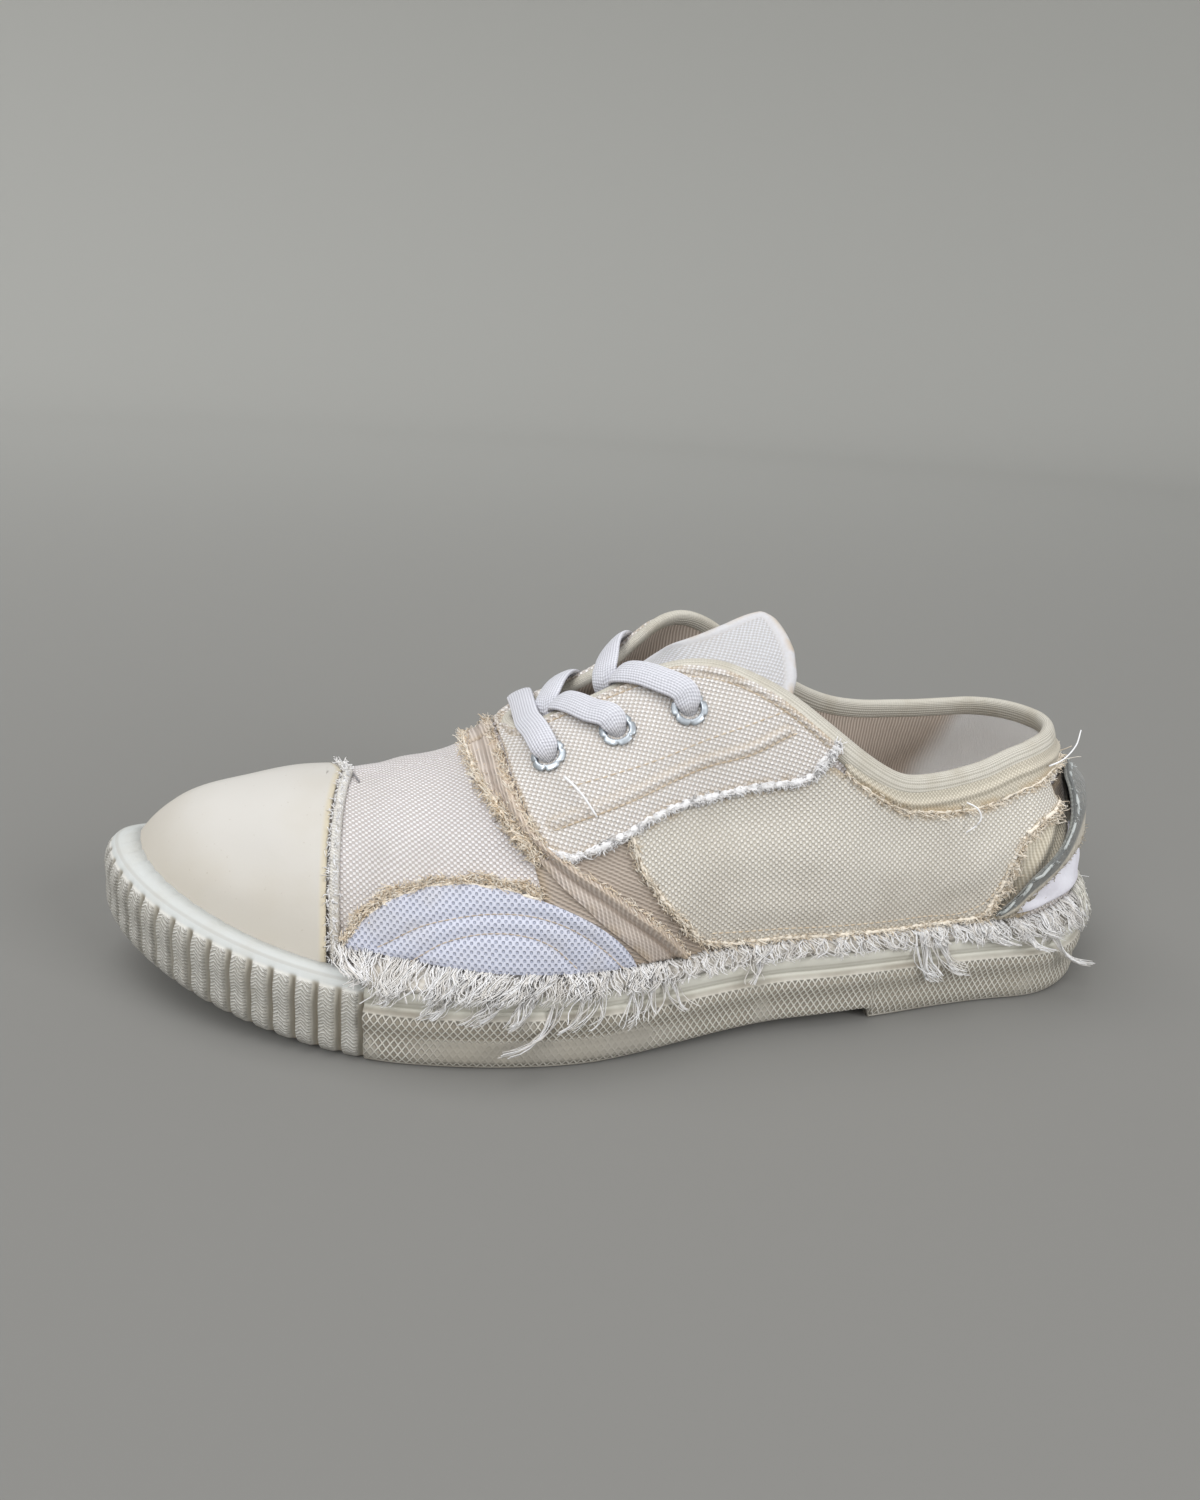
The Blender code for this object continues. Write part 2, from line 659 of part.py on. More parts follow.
# patch low on the heel: station, lower and upper height
HEEL_PATCH = np.array([
    (257, 28.4, 31.0),
    (264, 29.0, 40.0),
    (271, 31.0, 46.0),
    (281, 32.0, 50.0),
    (316, 32.0, 52.0),
])
HEEL_PATCH_LIFT = 0.6
# torn flap of the heel: station, lower and upper height, lift of its belly and of its free edge
HEEL_FLAP = np.array([
    (253.5, 28.6, 30.4, 1.8, 1.9),
    (259.5, 31.0, 36.8, 2.4, 3.0),
    (264.0, 35.8, 42.0, 2.8, 3.8),
    (268.5, 39.4, 45.8, 3.0, 4.2),
    (272.8, 42.0, 50.0, 3.3, 4.4),
    (278.0, 44.0, 55.5, 3.7, 4.3),
    (283.6, 45.3, 61.5, 4.2, 3.7),
    (289.0, 45.8, 64.6, 4.5, 2.4),
    (294.4, 45.7, 65.8, 4.6, 1.9),
    (305.2, 45.5, 66.0, 4.6, 1.8),
    (316.0, 45.5, 66.0, 4.4, 1.8),
])
FLAP_LOW_LIFT, FLAP_THICKNESS = 1.6, 2.0


def curve_through(points, steps=2):
    """Smooth line through a short list of side-view points."""
    way = np.concatenate([[0], np.cumsum(np.linalg.norm(np.diff(points, axis=0), axis=1))])
    t = np.linspace(0, way[-1], steps * (len(points) - 1) + 1)
    return np.column_stack([smooth(t, way, points[:, 0]), smooth(t, way, points[:, 1])])


def prism(name, shape, side):
    """Cutter: a side-view shape carried outward from the middle of the shoe."""
    count = len(shape)
    near = [(x, side * 0.5, z) for x, z in shape]
    far = [(x, side * LENGTH, z) for x, z in shape]
    faces = [tuple(range(count)), tuple(range(count, 2 * count))]
    faces += [(i, (i + 1) % count, (i + 1) % count + count, i + count) for i in range(count)]
    return add_mesh(name, near + far, faces)


def overlay(name, side, shape, thickness, surface):
    """Piece cut out of a layer over one side of the upper by its side-view shape."""
    s = columns(side, shape[:, 0].min() - 12, shape[:, 0].max() + 20)
    grid = last_grid(side, s, rib_angles(side, s, EDGE_DROP, ROWS), GAP)
    layer = solidify(skin_sheet(name, [(side, grid)], surface), thickness, True)
    return boolean(layer, prism(name + "_cutter", shape, side), "INTERSECT")


def band_over(name, grid_of, thickness, surface):
    """Layer whose grid of points runs on over both sides of the shoe."""
    parts = [(side, grid_of(side)) for side, _ in SIDES]
    return solidify(skin_sheet(name, parts, surface), thickness, True)


def eyestay_shape():
    front, foot = curve_through(EYESTAY_FRONT), curve_through(EYESTAY_FOOT)
    return np.concatenate([front, foot[1:], [(EYESTAY_REAR, OVER), (front[0, 0], OVER)]])


def quarter_shape(side):
    foot = curve_through(EYESTAY_FOOT) - (0, PANEL_GAP)
    top = foot[foot[:, 0] > QUARTER_FRONT[1, 0]]
    front, rear = curve_through(QUARTER_FRONT), curve_through(QUARTER_REAR)
    s = station(side, np.array(QUARTER_TOP_X))
    edge = last_point(side, s, band_angle(side, s, PANEL_GAP))[:, [0, 2]]
    floor = [(front[-1, 0] + 1, PANEL_FOOT), (rear[0, 0], PANEL_FOOT)]
    return np.concatenate([front, floor, rear, edge[::-1], top[::-1]])


def patch_shape():
    (cx, cz), (rx, rz) = PATCH_CENTRE, PATCH_RADII
    turn = np.arcsin((PANEL_FOOT - cz) / rz)
    t = np.linspace(turn, np.pi - turn, 10)
    return np.column_stack([cx + rx * np.cos(t), cz + rz * np.sin(t)])


def make_side_panels():
    seam = np.concatenate([SEAM_FRONT, SEAM_REAR[::-1]])
    for side, word in SIDES:
        overlay("eyestay_" + word, side, eyestay_shape(), EYESTAY_THICKNESS, CANVAS_PALE)
        overlay("quarter_" + word, side, quarter_shape(side), QUARTER_THICKNESS, CANVAS)
        overlay("patch_" + word, side, patch_shape(), PATCH_THICKNESS, PATCH_CLOTH)
        overlay("seam_strip_" + word, side, seam, SEAM_THICKNESS, TWILL)


def make_cap_edge_strip():
    def grid(side):
        s = station(side, np.array(CAP_EDGE))
        return last_grid(side, s, cap_angles(side, s), GAP)
    band_over("cap_edge_strip", grid, CAP_EDGE_THICKNESS, FRAY)


def band_angle(side, s, below=0.0):
    """Angles of the collar band's lower edge, or of a line a little below it."""
    drops = smooth(s, BAND[:, 0], BAND[:, 1]) + below
    return np.array([float(opening_angle(side, at, drop)) for at, drop in zip(s, drops)])


def make_collar_band():
    def grid(side):
        start = BAND[0, 0]
        s = np.concatenate([station(side, np.array([start])), columns(side, start + 1)])
        top = opening_angle(side, s, EDGE_DROP)
        return last_grid(side, s, between(band_angle(side, s), top, 1), GAP)
    band_over("collar_band", grid, BAND_THICKNESS, CANVAS_PALE)


def make_heel_patch():
    def grid(side):
        start = HEEL_PATCH[0, 0]
        s = np.concatenate([[start], columns(side, start + 1)])
        low, high = (angle_at_height(side, s, smooth(s, HEEL_PATCH[:, 0], HEEL_PATCH[:, k])) for k in (1, 2))
        return last_grid(side, s, between(low, high, 2), HEEL_PATCH_LIFT)
    band_over("heel_patch", grid, PATCH_THICKNESS, PATCH_CLOTH)


def make_heel_flap():
    """Thick felt that hangs from the back of the collar, its belly and front edge off the upper."""
    def grid(side):
        s, belly, edge = HEEL_FLAP[:, 0], HEEL_FLAP[:, 3], HEEL_FLAP[:, 4]
        low, high = (angle_at_height(side, s, HEEL_FLAP[:, k]) for k in (1, 2))
        foot = np.full(len(s), FLAP_LOW_LIFT)
        lift = np.stack([foot, (foot + 2 * belly) / 3, belly, edge], 1)
        return last_grid(side, s, between(low, high, 3), lift)
    band_over("heel_flap", grid, FLAP_THICKNESS, FELT)


# ---------------------------------------------------------------- eyelets and lace
# eyelets: x, distance from the crown line on the outer and inner side
EYELETS = ((120.5, 23.2, 22.0), (138.0, 24.2, 22.5), (157.0, 28.0, 24.0))
EYELET_HOLE, EYELET_PEAK, EYELET_VALLEY, EYELET_THICKNESS = 2.75, 5.0, 4.4, 0.9
EYELET_LOBES = 6
EYELET_LIFT = GAP + EYESTAY_THICKNESS + 0.7
LACE_WIDTH, LACE_THICKNESS = 7.0, 1.4
# lace: x, distance from the crown line (negative on the inner side), height over the last
LACE_BAR = np.array([
    (120.3, 21.8, 4.8),
    (119.0, 15.5, 4.1),
    (117.6, 9.5, 3.1),
    (117.4, 4.0, 2.5),
    (117.6, -1.0, 2.5),
    (118.0, -6.0, 2.9),
    (118.6, -12.0, 4.0),
    (120.4, -20.0, 4.9),
])
LACE_UNDER_2 = np.array([
    (137.4, 22.4, 4.8),
    (132.6, 17.2, 4.1),
    (128.6, 11.4, 3.5),
    (126.3, 7.5, 3.0),
    (124.8, 4.5, 2.0),
    (123.6, 2.2, 0.9),
])
LACE_OVER_2 = np.array([
    (137.4, -20.0, 4.8),
    (133.6, -14.5, 4.0),
    (130.4, -9.5, 3.0),
    (126.2, -3.5, 1.6),
    (122.8, 1.5, 0.4),
    (121.0, 4.0, -0.6),
])
LACE_UNDER_3 = np.array([
    (156.4, 26.0, 4.8),
    (150.6, 20.0, 4.1),
    (145.4, 13.8, 3.5),
    (142.4, 10.2, 3.0),
    (140.6, 7.0, 2.0),
    (139.4, 4.4, 0.9),
])
LACE_OVER_3 = np.array([
    (156.4, -21.5, 4.8),
    (151.4, -15.5, 4.0),
    (147.0, -10.0, 2.9),
    (142.6, -4.0, 1.4),
    (139.2, 1.0, 0.3),
    (137.2, 4.0, -0.8),
])


def skin_frame(x, gap, lift):
    """Point over the last and the directions along the shoe and outward from the surface."""
    side = OUTER if gap >= 0 else INNER
    s = station(side, x)
    angle = angle_at_gap(side, s, abs(gap))
    at = skin(side, s, angle, lift)
    outward = skin(side, s, angle, lift + 1) - at
    along = skin(side, s + 1, angle, lift) - at
    along = along - outward * (along @ outward)
    return at, along / np.linalg.norm(along), outward


def make_eyelets():
    """Six-lobed rings: low at the hole's and the rim's edge, raised between."""
    turns = np.arange(2 * EYELET_LOBES) * np.pi / EYELET_LOBES
    rim = np.where(np.arange(len(turns)) % 2 == 0, EYELET_PEAK, EYELET_VALLEY)[:, None]
    for side, word in SIDES:
        for number, row in enumerate(EYELETS, 1):
            gap = row[1] if side == OUTER else -row[2]
            at, along, outward = skin_frame(row[0], gap, EYELET_LIFT)
            spokes = np.outer(np.cos(turns), along) + np.outer(np.sin(turns), np.cross(outward, along))
            low, edge = at + spokes * EYELET_HOLE, at + spokes * rim
            top = at + spokes * (EYELET_HOLE + rim) / 2 + outward * EYELET_THICKNESS
            points = np.stack([low, edge, top], 1).reshape(-1, 3)
            faces = []
            for k in range(len(turns)):
                for r in range(3):
                    a, b = 3 * k + r, 3 * k + (r + 1) % 3
                    c, d = (a + 3) % len(points), (b + 3) % len(points)
                    faces += [(a, c, d), (a, d, b)]
            add_mesh(f"eyelet_{word}_{number}", points, faces, METAL)


def tape(name, route, surface):
    """Flat lace along a smooth line over the last; without a material, a cutter."""
    frames = [skin_frame(*row) for row in route]
    centres, normals = (np.array([f[k] for f in frames]) for k in (0, 2))
    way = np.concatenate([[0], np.cumsum(np.linalg.norm(np.diff(centres, axis=0), axis=1))])
    t = np.linspace(0, way[-1], len(centres) + 3)
    line = np.column_stack([smooth(t, way, centres[:, k]) for k in range(3)])
    up = np.column_stack([smooth(t, way, normals[:, k]) for k in range(3)])
    along = np.gradient(line, axis=0)
    across = np.cross(along, up)
    across = across / np.linalg.norm(across, axis=1, keepdims=True) * LACE_WIDTH / 2
    up = np.cross(across, along)
    up = up / np.linalg.norm(up, axis=1, keepdims=True) * LACE_THICKNESS / 2
    rings = np.stack([line - across - up, line + across - up, line + across + up, line - across + up], 1)
    return loft(name, rings, surface)


def make_laces():
    tape("lace_bar", LACE_BAR, LACE)
    for name, under, over in (("2", LACE_UNDER_2, LACE_OVER_2), ("3", LACE_UNDER_3, LACE_OVER_3)):
        crossing = tape("lace_crossing_" + name, under, LACE)
        boolean(crossing, tape("lace_over_" + name, over, None), "UNION")


# ---------------------------------------------------------------- fringe over the foxing
FRINGE_START, FRINGE_STEP, FRINGE_THICKNESS = 72.0, 8.1, 0.9
# heights over the underside: root on the upper, bend over the foxing's top, start of the locks
FRINGE_ROOT, FRINGE_BEND, FRINGE_TOP = 25.2, 23.6, 21.5
FRINGE_BEND_OUT, FRINGE_OUT = 0.2, 0.95
HEEL_FUZZ = (262.0, 280.0, 3.4)
FRINGE_HANG, FRINGE_SPREAD = 1.0, 5.5
FRINGE_SEED = {OUTER: 3, INNER: 8}


def make_fringes():
    """Bands over the foxing's top whose lower edges run out in locks of unlike length."""
    for side, word in SIDES:
        s = np.arange(FRINGE_START, LAST_STATION - 1.5, FRINGE_STEP)
        rng = np.random.RandomState(FRINGE_SEED[side])
        lock = np.arange(len(s)) % 2 == 0
        length = np.where(lock, rng.uniform(0.45, 1.0, len(s)), rng.uniform(0, 0.25, len(s)))
        height = FRINGE_ROOT + ease(s, HEEL_FUZZ[0], 0, HEEL_FUZZ[1], HEEL_FUZZ[2])
        angle = angle_at_height(side, s, bed(inner_line(side, s, last_inset)[:, 0]) + height)
        root = skin(side, s, angle, GAP)
        bend = plan_point(side, s, FRINGE_BEND_OUT, FRINGE_BEND)
        tip = plan_point(side, s, FRINGE_OUT, FRINGE_TOP)
        tip[:, 2] -= FRINGE_HANG + FRINGE_SPREAD * length
        grid = np.stack([tip, bend, root], 1)
        solidify(skin_sheet("fringe_" + word, [(side, grid)], FRAY), FRINGE_THICKNESS, True)


make_outsole()
make_foxing()
make_toe_bumper()
make_toe_cap()
make_cap_edge_strip()
make_insole()
make_upper()
make_binding()
make_tongue()
make_side_panels()
make_collar_band()
make_heel_patch()
make_heel_flap()
make_eyelets()
make_laces()
make_fringes()
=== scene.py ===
# %% [markdown]
# A worn left canvas sneaker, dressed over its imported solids.
# The shoe is measured in millimetres from the toe: x runs back to the heel, y is negative on the
# outer side of the foot, z is up from the floor. Every soft piece lies on one formula for the last,
# the block that a shoe is made on, so that layers stack in the order in which they were sewn.

# %% load the frame
import json
import bpy
import bmesh
import numpy as np
from mathutils import Matrix, Vector


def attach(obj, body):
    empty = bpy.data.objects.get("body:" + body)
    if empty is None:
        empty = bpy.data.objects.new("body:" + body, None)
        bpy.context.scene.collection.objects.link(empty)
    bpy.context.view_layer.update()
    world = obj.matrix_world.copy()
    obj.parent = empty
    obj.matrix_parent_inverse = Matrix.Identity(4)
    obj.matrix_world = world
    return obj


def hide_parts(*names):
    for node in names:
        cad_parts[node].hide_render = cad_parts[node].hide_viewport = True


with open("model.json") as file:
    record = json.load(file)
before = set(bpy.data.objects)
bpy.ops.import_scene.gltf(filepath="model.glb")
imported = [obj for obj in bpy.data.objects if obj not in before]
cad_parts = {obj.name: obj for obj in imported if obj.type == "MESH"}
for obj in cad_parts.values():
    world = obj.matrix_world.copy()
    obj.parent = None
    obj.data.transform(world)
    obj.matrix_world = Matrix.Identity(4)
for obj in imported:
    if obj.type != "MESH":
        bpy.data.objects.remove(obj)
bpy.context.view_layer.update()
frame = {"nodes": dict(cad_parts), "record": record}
MM, PI = 0.001, np.pi
OUTER, INNER = -1, 1
SIDES = ((OUTER, "outer"), (INNER, "inner"))
HEEL_X = 262.0
mounts = {m["name"]: m["pos_m"] for m in frame["record"]["mounts"]}
ORIGIN = np.array(mounts["heel_rest"])


def to_world(points):
    """Shoe millimetres to metres: the row's origin lies under the middle of the heel."""
    return (np.asarray(points, float) - (HEEL_X, 0, 0)) * MM + ORIGIN


# %% [markdown]
# The camera stands low on the outer side, level with the toe cap's rear edge and 18 cm over the
# floor. It looks down at the shoe and a little back along it. Its place comes first, then the
# directions of its own three axes.

# %% camera
EYE = (-0.1957, -0.2866, 0.1818)
RIGHT, UP, BACK = (0.9735, -0.2167, 0.0738), (0.0112, 0.3669, 0.9302), (-0.2286, -0.9047, 0.3596)
LENS = 26.18
camera = bpy.data.objects.new("camera", bpy.data.cameras.new("camera"))
camera.data.lens = LENS
camera.data.sensor_width = 36.0
camera.data.clip_start = 0.01
camera.matrix_world = Matrix.Translation(EYE) @ Matrix((RIGHT, UP, BACK)).transposed().to_4x4()
bpy.context.scene.collection.objects.link(camera)
bpy.context.scene.camera = camera
print("camera lens", LENS)

# %% [markdown]
# Shader maths reads best as plain arithmetic. The class below wraps one socket, and each operator
# on it adds the Math node that does the same, so a mask is written as 1 - wear * 0.5.

# %% socket arithmetic
class Socket:
    """One output of a node; arithmetic on it adds Math nodes to the same material."""

    def __init__(self, paint, link):
        self.paint, self.link = paint, link

    def math(self, operation, *values):
        return self.paint.node("ShaderNodeMath", {"operation": operation}, dict(enumerate(values)))

    def __add__(self, other):
        return self.math("ADD", self, other)

    def __sub__(self, other):
        return self.math("SUBTRACT", self, other)

    def __rsub__(self, other):
        return self.math("SUBTRACT", other, self)

    def __mul__(self, other):
        return self.math("MULTIPLY", self, other)

    __radd__, __rmul__ = __add__, __mul__

    def sine(self):
        return self.math("SINE", self)

    def size(self):
        return self.math("ABSOLUTE", self)

    def least(self, other):
        return self.math("MINIMUM", self, other)

    def most(self, other):
        return self.math("MAXIMUM", self, other)

    def step(self, low, high):
        """0 below low, 1 above high, smooth between them."""
        return self.paint.node("ShaderNodeMapRange", {"interpolation_type": "SMOOTHSTEP"},
                               {"Value": self, "From Min": low, "From Max": high})

    def wave(self, length):
        """A sine wave from 0 to 1 that repeats after each length."""
        return (self * (2 * PI / length)).sine() * 0.5 + 0.5


class Paint:
    """A material under construction, with the few patterns that this shoe needs."""

    def __init__(self, name):
        self.material = bpy.data.materials.new(name)
        self.material.use_nodes = True
        self.tree = self.material.node_tree
        self.surface = self.tree.nodes["Principled BSDF"]

    def node(self, kind, settings=None, inputs=None, out=0):
        made = self.tree.nodes.new(kind)
        for key, value in (settings or {}).items():
            setattr(made, key, value)
        for key, value in (inputs or {}).items():
            if isinstance(value, Socket):
                self.tree.links.new(value.link, made.inputs[key])
            else:
                made.inputs[key].default_value = value
        return Socket(self, made.outputs[out])

    def place(self, kind="Object"):
        return self.node("ShaderNodeTexCoord", out=kind)

    def field(self, name):
        return self.node("ShaderNodeAttribute", {"attribute_name": name}, out="Fac")

    def noise(self, scale, detail=3.0, rough=0.5):
        """Noise from 0 to 1; scale is in cycles a millimetre."""
        return self.node("ShaderNodeTexNoise", {}, {"Vector": self.shoe(), "Scale": scale, "Detail": detail,
                                                    "Roughness": rough})

    def shoe(self):
        """Object coordinates in millimetres."""
        return self.node("ShaderNodeVectorMath", {"operation": "SCALE"}, {0: self.place(), "Scale": 1 / MM})

    def axis(self, number):
        """One object coordinate in millimetres: 0 along the shoe, 1 across it, 2 up."""
        return self.node("ShaderNodeSeparateXYZ", {}, {0: self.shoe()}, out=number)

    def across(self):
        """The piece's own two directions on its surface, in millimetres."""
        split = self.node("ShaderNodeSeparateXYZ", {}, {0: self.place("UV")})
        return split, Socket(self, split.link.node.outputs[1])

    def mix(self, share, first, second):
        colours = [c if isinstance(c, Socket) else (*c, 1.0) for c in (first, second)]
        return self.node("ShaderNodeMix", {"data_type": "RGBA"}, {0: share, 6: colours[0], 7: colours[1]}, out=2)

    def finish(self, colour, rough, height=None, depth=0.1, fixed=()):
        """Connect what varies; height runs from 0 to 1 over depth millimetres of relief."""
        for key, value in (("Base Color", colour), ("Roughness", rough)):
            if isinstance(value, Socket):
                self.tree.links.new(value.link, self.surface.inputs[key])
            else:
                self.surface.inputs[key].default_value = (*value, 1.0) if key == "Base Color" else value
        if height:
            bump = self.node("ShaderNodeBump", {}, {"Height": height, "Distance": depth * MM, "Strength": 1.0})
            self.tree.links.new(bump.link, self.surface.inputs["Normal"])
        for key, value in dict(fixed).items():
            self.surface.inputs[key].default_value = value
        return self.material


print("shader helpers ready")

# %% [markdown]
# The shoe stands on a round sheet of grey paper that turns up all round in one sweep, as in a
# studio, so that the floor has no edge behind it. Its colour is painted dark near the shoe and paler
# with distance, as painted shade and painted light in place of the lamps' falloff. One large lamp
# hangs overhead, and a softer one stands on each side of the camera.

# %% stage: floor, sweep and lights
# floor colours: the near one is painted shade round the shoe, the far one painted light
FLOOR_NEAR, FLOOR_FAR = (0.225, 0.222, 0.211), (0.41, 0.41, 0.39)
# metres: middle of the sheet, radius of its first ring, where it starts to turn up, how wide it turns, wall
SWEEP_CENTRE, FIRST_RING, SWEEP_START, SWEEP_RADIUS, SWEEP_TOP = (0.0, -1.1), 1.6, 2.7, 0.9, 1.7
SWEEP_ROWS, SWEEP_SECTORS = 24, 120
# millimetres: the paling starts and ends so far behind the shoe; in front it counts from a circle
FADE_START, FADE_END, FADE_CIRCLE = -150, 1850, 900
SKY_COLOUR, SKY_STRENGTH = (0.98, 0.99, 1.0, 1.0), 0.34


def make_floor():
    """A round floor that turns up all round through a quarter circle into a low wall."""
    turn = np.linspace(0, PI / 2, SWEEP_ROWS)
    around = np.linspace(0, 2 * PI, SWEEP_SECTORS + 1)[:-1]
    out = np.concatenate([[FIRST_RING], SWEEP_START + SWEEP_RADIUS * np.sin(turn), [SWEEP_START + SWEEP_RADIUS]])
    z = np.concatenate([[0.0], SWEEP_RADIUS * (1 - np.cos(turn)), [SWEEP_TOP]])
    grid = np.stack(np.broadcast_arrays(SWEEP_CENTRE[0] + out[:, None] * np.cos(around),
                                        SWEEP_CENTRE[1] + out[:, None] * np.sin(around), z[:, None]), -1)
    rows, count = grid.shape[:2]
    row, column = np.meshgrid(np.arange(rows - 1), np.arange(count), indexing="ij")
    here, beside = (row * count + column).ravel(), (row * count + (column + 1) % count).ravel()
    faces = np.stack([here + count, beside + count, beside, here], 1).tolist() + [list(range(count))]
    mesh = bpy.data.meshes.new("floor")
    mesh.from_pydata(grid.reshape(-1, 3).tolist(), [], faces)
    mesh.shade_smooth()
    paint = Paint("studio_paper")
    distance = paint.node("ShaderNodeVectorMath", {"operation": "LENGTH"}, {0: paint.shoe()}, out=1)
    # painted light and shade: the floor turns from its dark near colour to its pale far one
    pale = paint.axis(1).most(distance - FADE_CIRCLE).step(FADE_START, FADE_END)
    mesh.materials.append(paint.finish(paint.mix(pale, FLOOR_NEAR, FLOOR_FAR), 0.9))
    floor = bpy.data.objects.new("floor", mesh)
    bpy.context.scene.collection.objects.link(floor)


def add_lamp(name, place, target, size, power):
    """Square lamp of a size in metres and a power in watts, turned to face its target."""
    lamp = bpy.data.lights.new(name, "AREA")
    lamp.size, lamp.energy = size, power
    made = bpy.data.objects.new(name, lamp)
    way = Vector(place) - Vector(target)
    made.matrix_world = Matrix.Translation(place) @ way.to_track_quat("Z", "Y").to_matrix().to_4x4()
    bpy.context.scene.collection.objects.link(made)


make_floor()
world = bpy.data.worlds.new("studio")
world.use_nodes = True
sky = world.node_tree.nodes["Background"].inputs
sky[0].default_value, sky[1].default_value = SKY_COLOUR, SKY_STRENGTH
bpy.context.scene.world = world
add_lamp("overhead", (-1.1, 0.4, 3.0), (-0.05, 0.2, 0.0), 2.6, 52.0)
add_lamp("front_left", (-1.9, -1.8, 2.1), (-0.12, 0, 0.04), 1.6, 44.0)
add_lamp("front_right", (1.6, -1.9, 1.3), (-0.05, 0, 0.04), 1.4, 37.0)
bpy.context.scene.view_settings.view_transform = "Standard"
print("stage ready")

# %% [markdown]
# The sole's outline comes first, because a shoe is planned from the ground up. A maker draws the
# plan of the sole from three widths: the ball, the waist and the heel. Here each stretch between
# them is one smooth easing curve, and the toe and heel are superellipses.

# %% sizes and smooth curves
LENGTH, TOE_TIP_Y, TOE_X = 300.0, 16.0, 61.5
HEEL_ARC = 54.0
LAST_STATION = HEEL_X + HEEL_ARC
HEEL_POWER = 2.25
OUTLINE = {
    OUTER: dict(ball_x=121.0, ball_y=56.0, toe_power=1.80, waist_x=190.0, waist_y=46.5, heel_y=40.0),
    INNER: dict(ball_x=92.0, ball_y=49.5, toe_power=2.15, waist_x=182.0, waist_y=34.0, heel_y=40.0),
}
TOE_SPRING, SPRING_LENGTH, SPRING_POWER = 16.5, 80.0, 1.8
ARCH_START, HEEL_BREAST, BREAST_HEIGHT = 130.0, 213.0, 4.2
SHANK_START, SHANK_END, SHANK_RISE = 140.0, 260.0, 1.2
PLATE_THICKNESS, FOXING_LIFT, GAP, UPPER_WALL = 5.5, 0.5, 0.35, 2.0
# rubber wall round the foot: x, wall thickness, room left for the toe cap
RUBBER = np.array([(0, 6.0, 1.9), (70, 6.0, 1.9), (92, 4.2, 0.5), (104, 3.5, 0.0), (316, 3.5, 0.0)])


def smooth(x, xs, ys):
    """Cubic through the rows of a table whose slope at a row is that of its neighbours."""
    xs, ys = np.asarray(xs, float), np.asarray(ys, float)
    x = np.clip(np.asarray(x, float), xs[0], xs[-1])
    slope = np.gradient(ys, xs)
    i = np.clip(np.searchsorted(xs, x, side="right") - 1, 0, len(xs) - 2)
    span = xs[i + 1] - xs[i]
    t = (x - xs[i]) / span
    rise = t * t * (3 - 2 * t)
    tangents = t * (1 - t) * ((1 - t) * slope[i] - t * slope[i + 1]) * span
    return ys[i] * (1 - rise) + ys[i + 1] * rise + tangents


def read(table, column, at):
    """A column of a table, read smoothly at places along its first column."""
    return smooth(at, table[:, 0], table[:, column])


def ease(x, x0, y0, x1, y1):
    """From y0 at x0 to y1 at x1 along 3t^2 - 2t^3."""
    t = np.clip((x - x0) / (x1 - x0), 0, 1)
    return y0 + (y1 - y0) * t * t * (3 - 2 * t)


def unit(v):
    return v / np.maximum(np.linalg.norm(v, axis=-1, keepdims=True), 1e-9)


def bell(x, centre, width):
    """1 at the centre, dying out as exp(-t^2) with t the way from there in widths."""
    return np.exp(-((x - centre) / width) ** 2)


def squared(wave, power):
    """Sine or cosine of a superellipse: its size goes to the power 2 / power, its sign stays."""
    return np.sign(wave) * np.abs(wave) ** (2 / power)


def way_along(line):
    """Distance from a line's first point to each of its points."""
    return np.concatenate([[0], np.cumsum(np.linalg.norm(np.diff(line, axis=0), axis=-1))])


def follow(at, way, points):
    """Points of a smooth curve, whose given points lie at way, at the places at."""
    return np.column_stack([smooth(at, way, column) for column in points.T])


def outline(side, s):
    """Plan of the sole's edge; s is x up to the heel's centre, then the way round the heel."""
    k = OUTLINE[side]
    s = np.asarray(s, float)
    reach = k["ball_y"] - side * TOE_TIP_Y
    rest = np.clip(1 - s / k["ball_x"], 0, 1)
    toe = side * TOE_TIP_Y + reach * (1 - rest ** k["toe_power"]) ** (1 / k["toe_power"])
    front = ease(s, k["ball_x"], k["ball_y"], k["waist_x"], k["waist_y"])
    rear = ease(s, k["waist_x"], k["waist_y"], HEEL_X, k["heel_y"])
    turn = np.clip((s - HEEL_X) / HEEL_ARC, 0, 1) * PI / 2
    heel = k["heel_y"] * np.clip(np.cos(turn), 0, 1) ** (2 / HEEL_POWER)
    y = np.where(s < k["ball_x"], toe, np.where(s < k["waist_x"], front, np.where(s < HEEL_X, rear, heel)))
    x = np.where(s < HEEL_X, s, HEEL_X + (LENGTH - HEEL_X) * np.sin(turn) ** (2 / HEEL_POWER))
    return np.stack([x, side * y], -1)


def inward(side, s):
    """Unit vector in plan from the outline towards the foot, square to the outline."""
    step = 0.05
    s = np.asarray(s, float)
    along = outline(side, np.minimum(s + step, LAST_STATION)) - outline(side, np.maximum(s - step, 0))
    square = unit(np.stack([along[..., 1], -along[..., 0]], -1) * side)
    square[s <= 0] = (1, 0)
    square[s >= LAST_STATION] = (-1, 0)
    return square


def round_heel(s, count):
    """Stations up to the heel's centre, then count - 1 more round the heel to its middle."""
    return np.concatenate([s, HEEL_X + HEEL_ARC * np.linspace(0, 1, count)[1:]])


def spring(x):
    """Lift of the toe: a power curve that dies out behind the cap."""
    return TOE_SPRING * np.clip(1 - x / SPRING_LENGTH, 0, 1) ** SPRING_POWER


def bottom(x):
    """Height of the underside: toe spring, flat ball, arch up to the heel breast, flat heel."""
    arch = BREAST_HEIGHT * np.clip((x - ARCH_START) / (HEEL_BREAST - ARCH_START), 0, 1)
    return spring(x) + np.where(x < HEEL_BREAST, arch, 0)


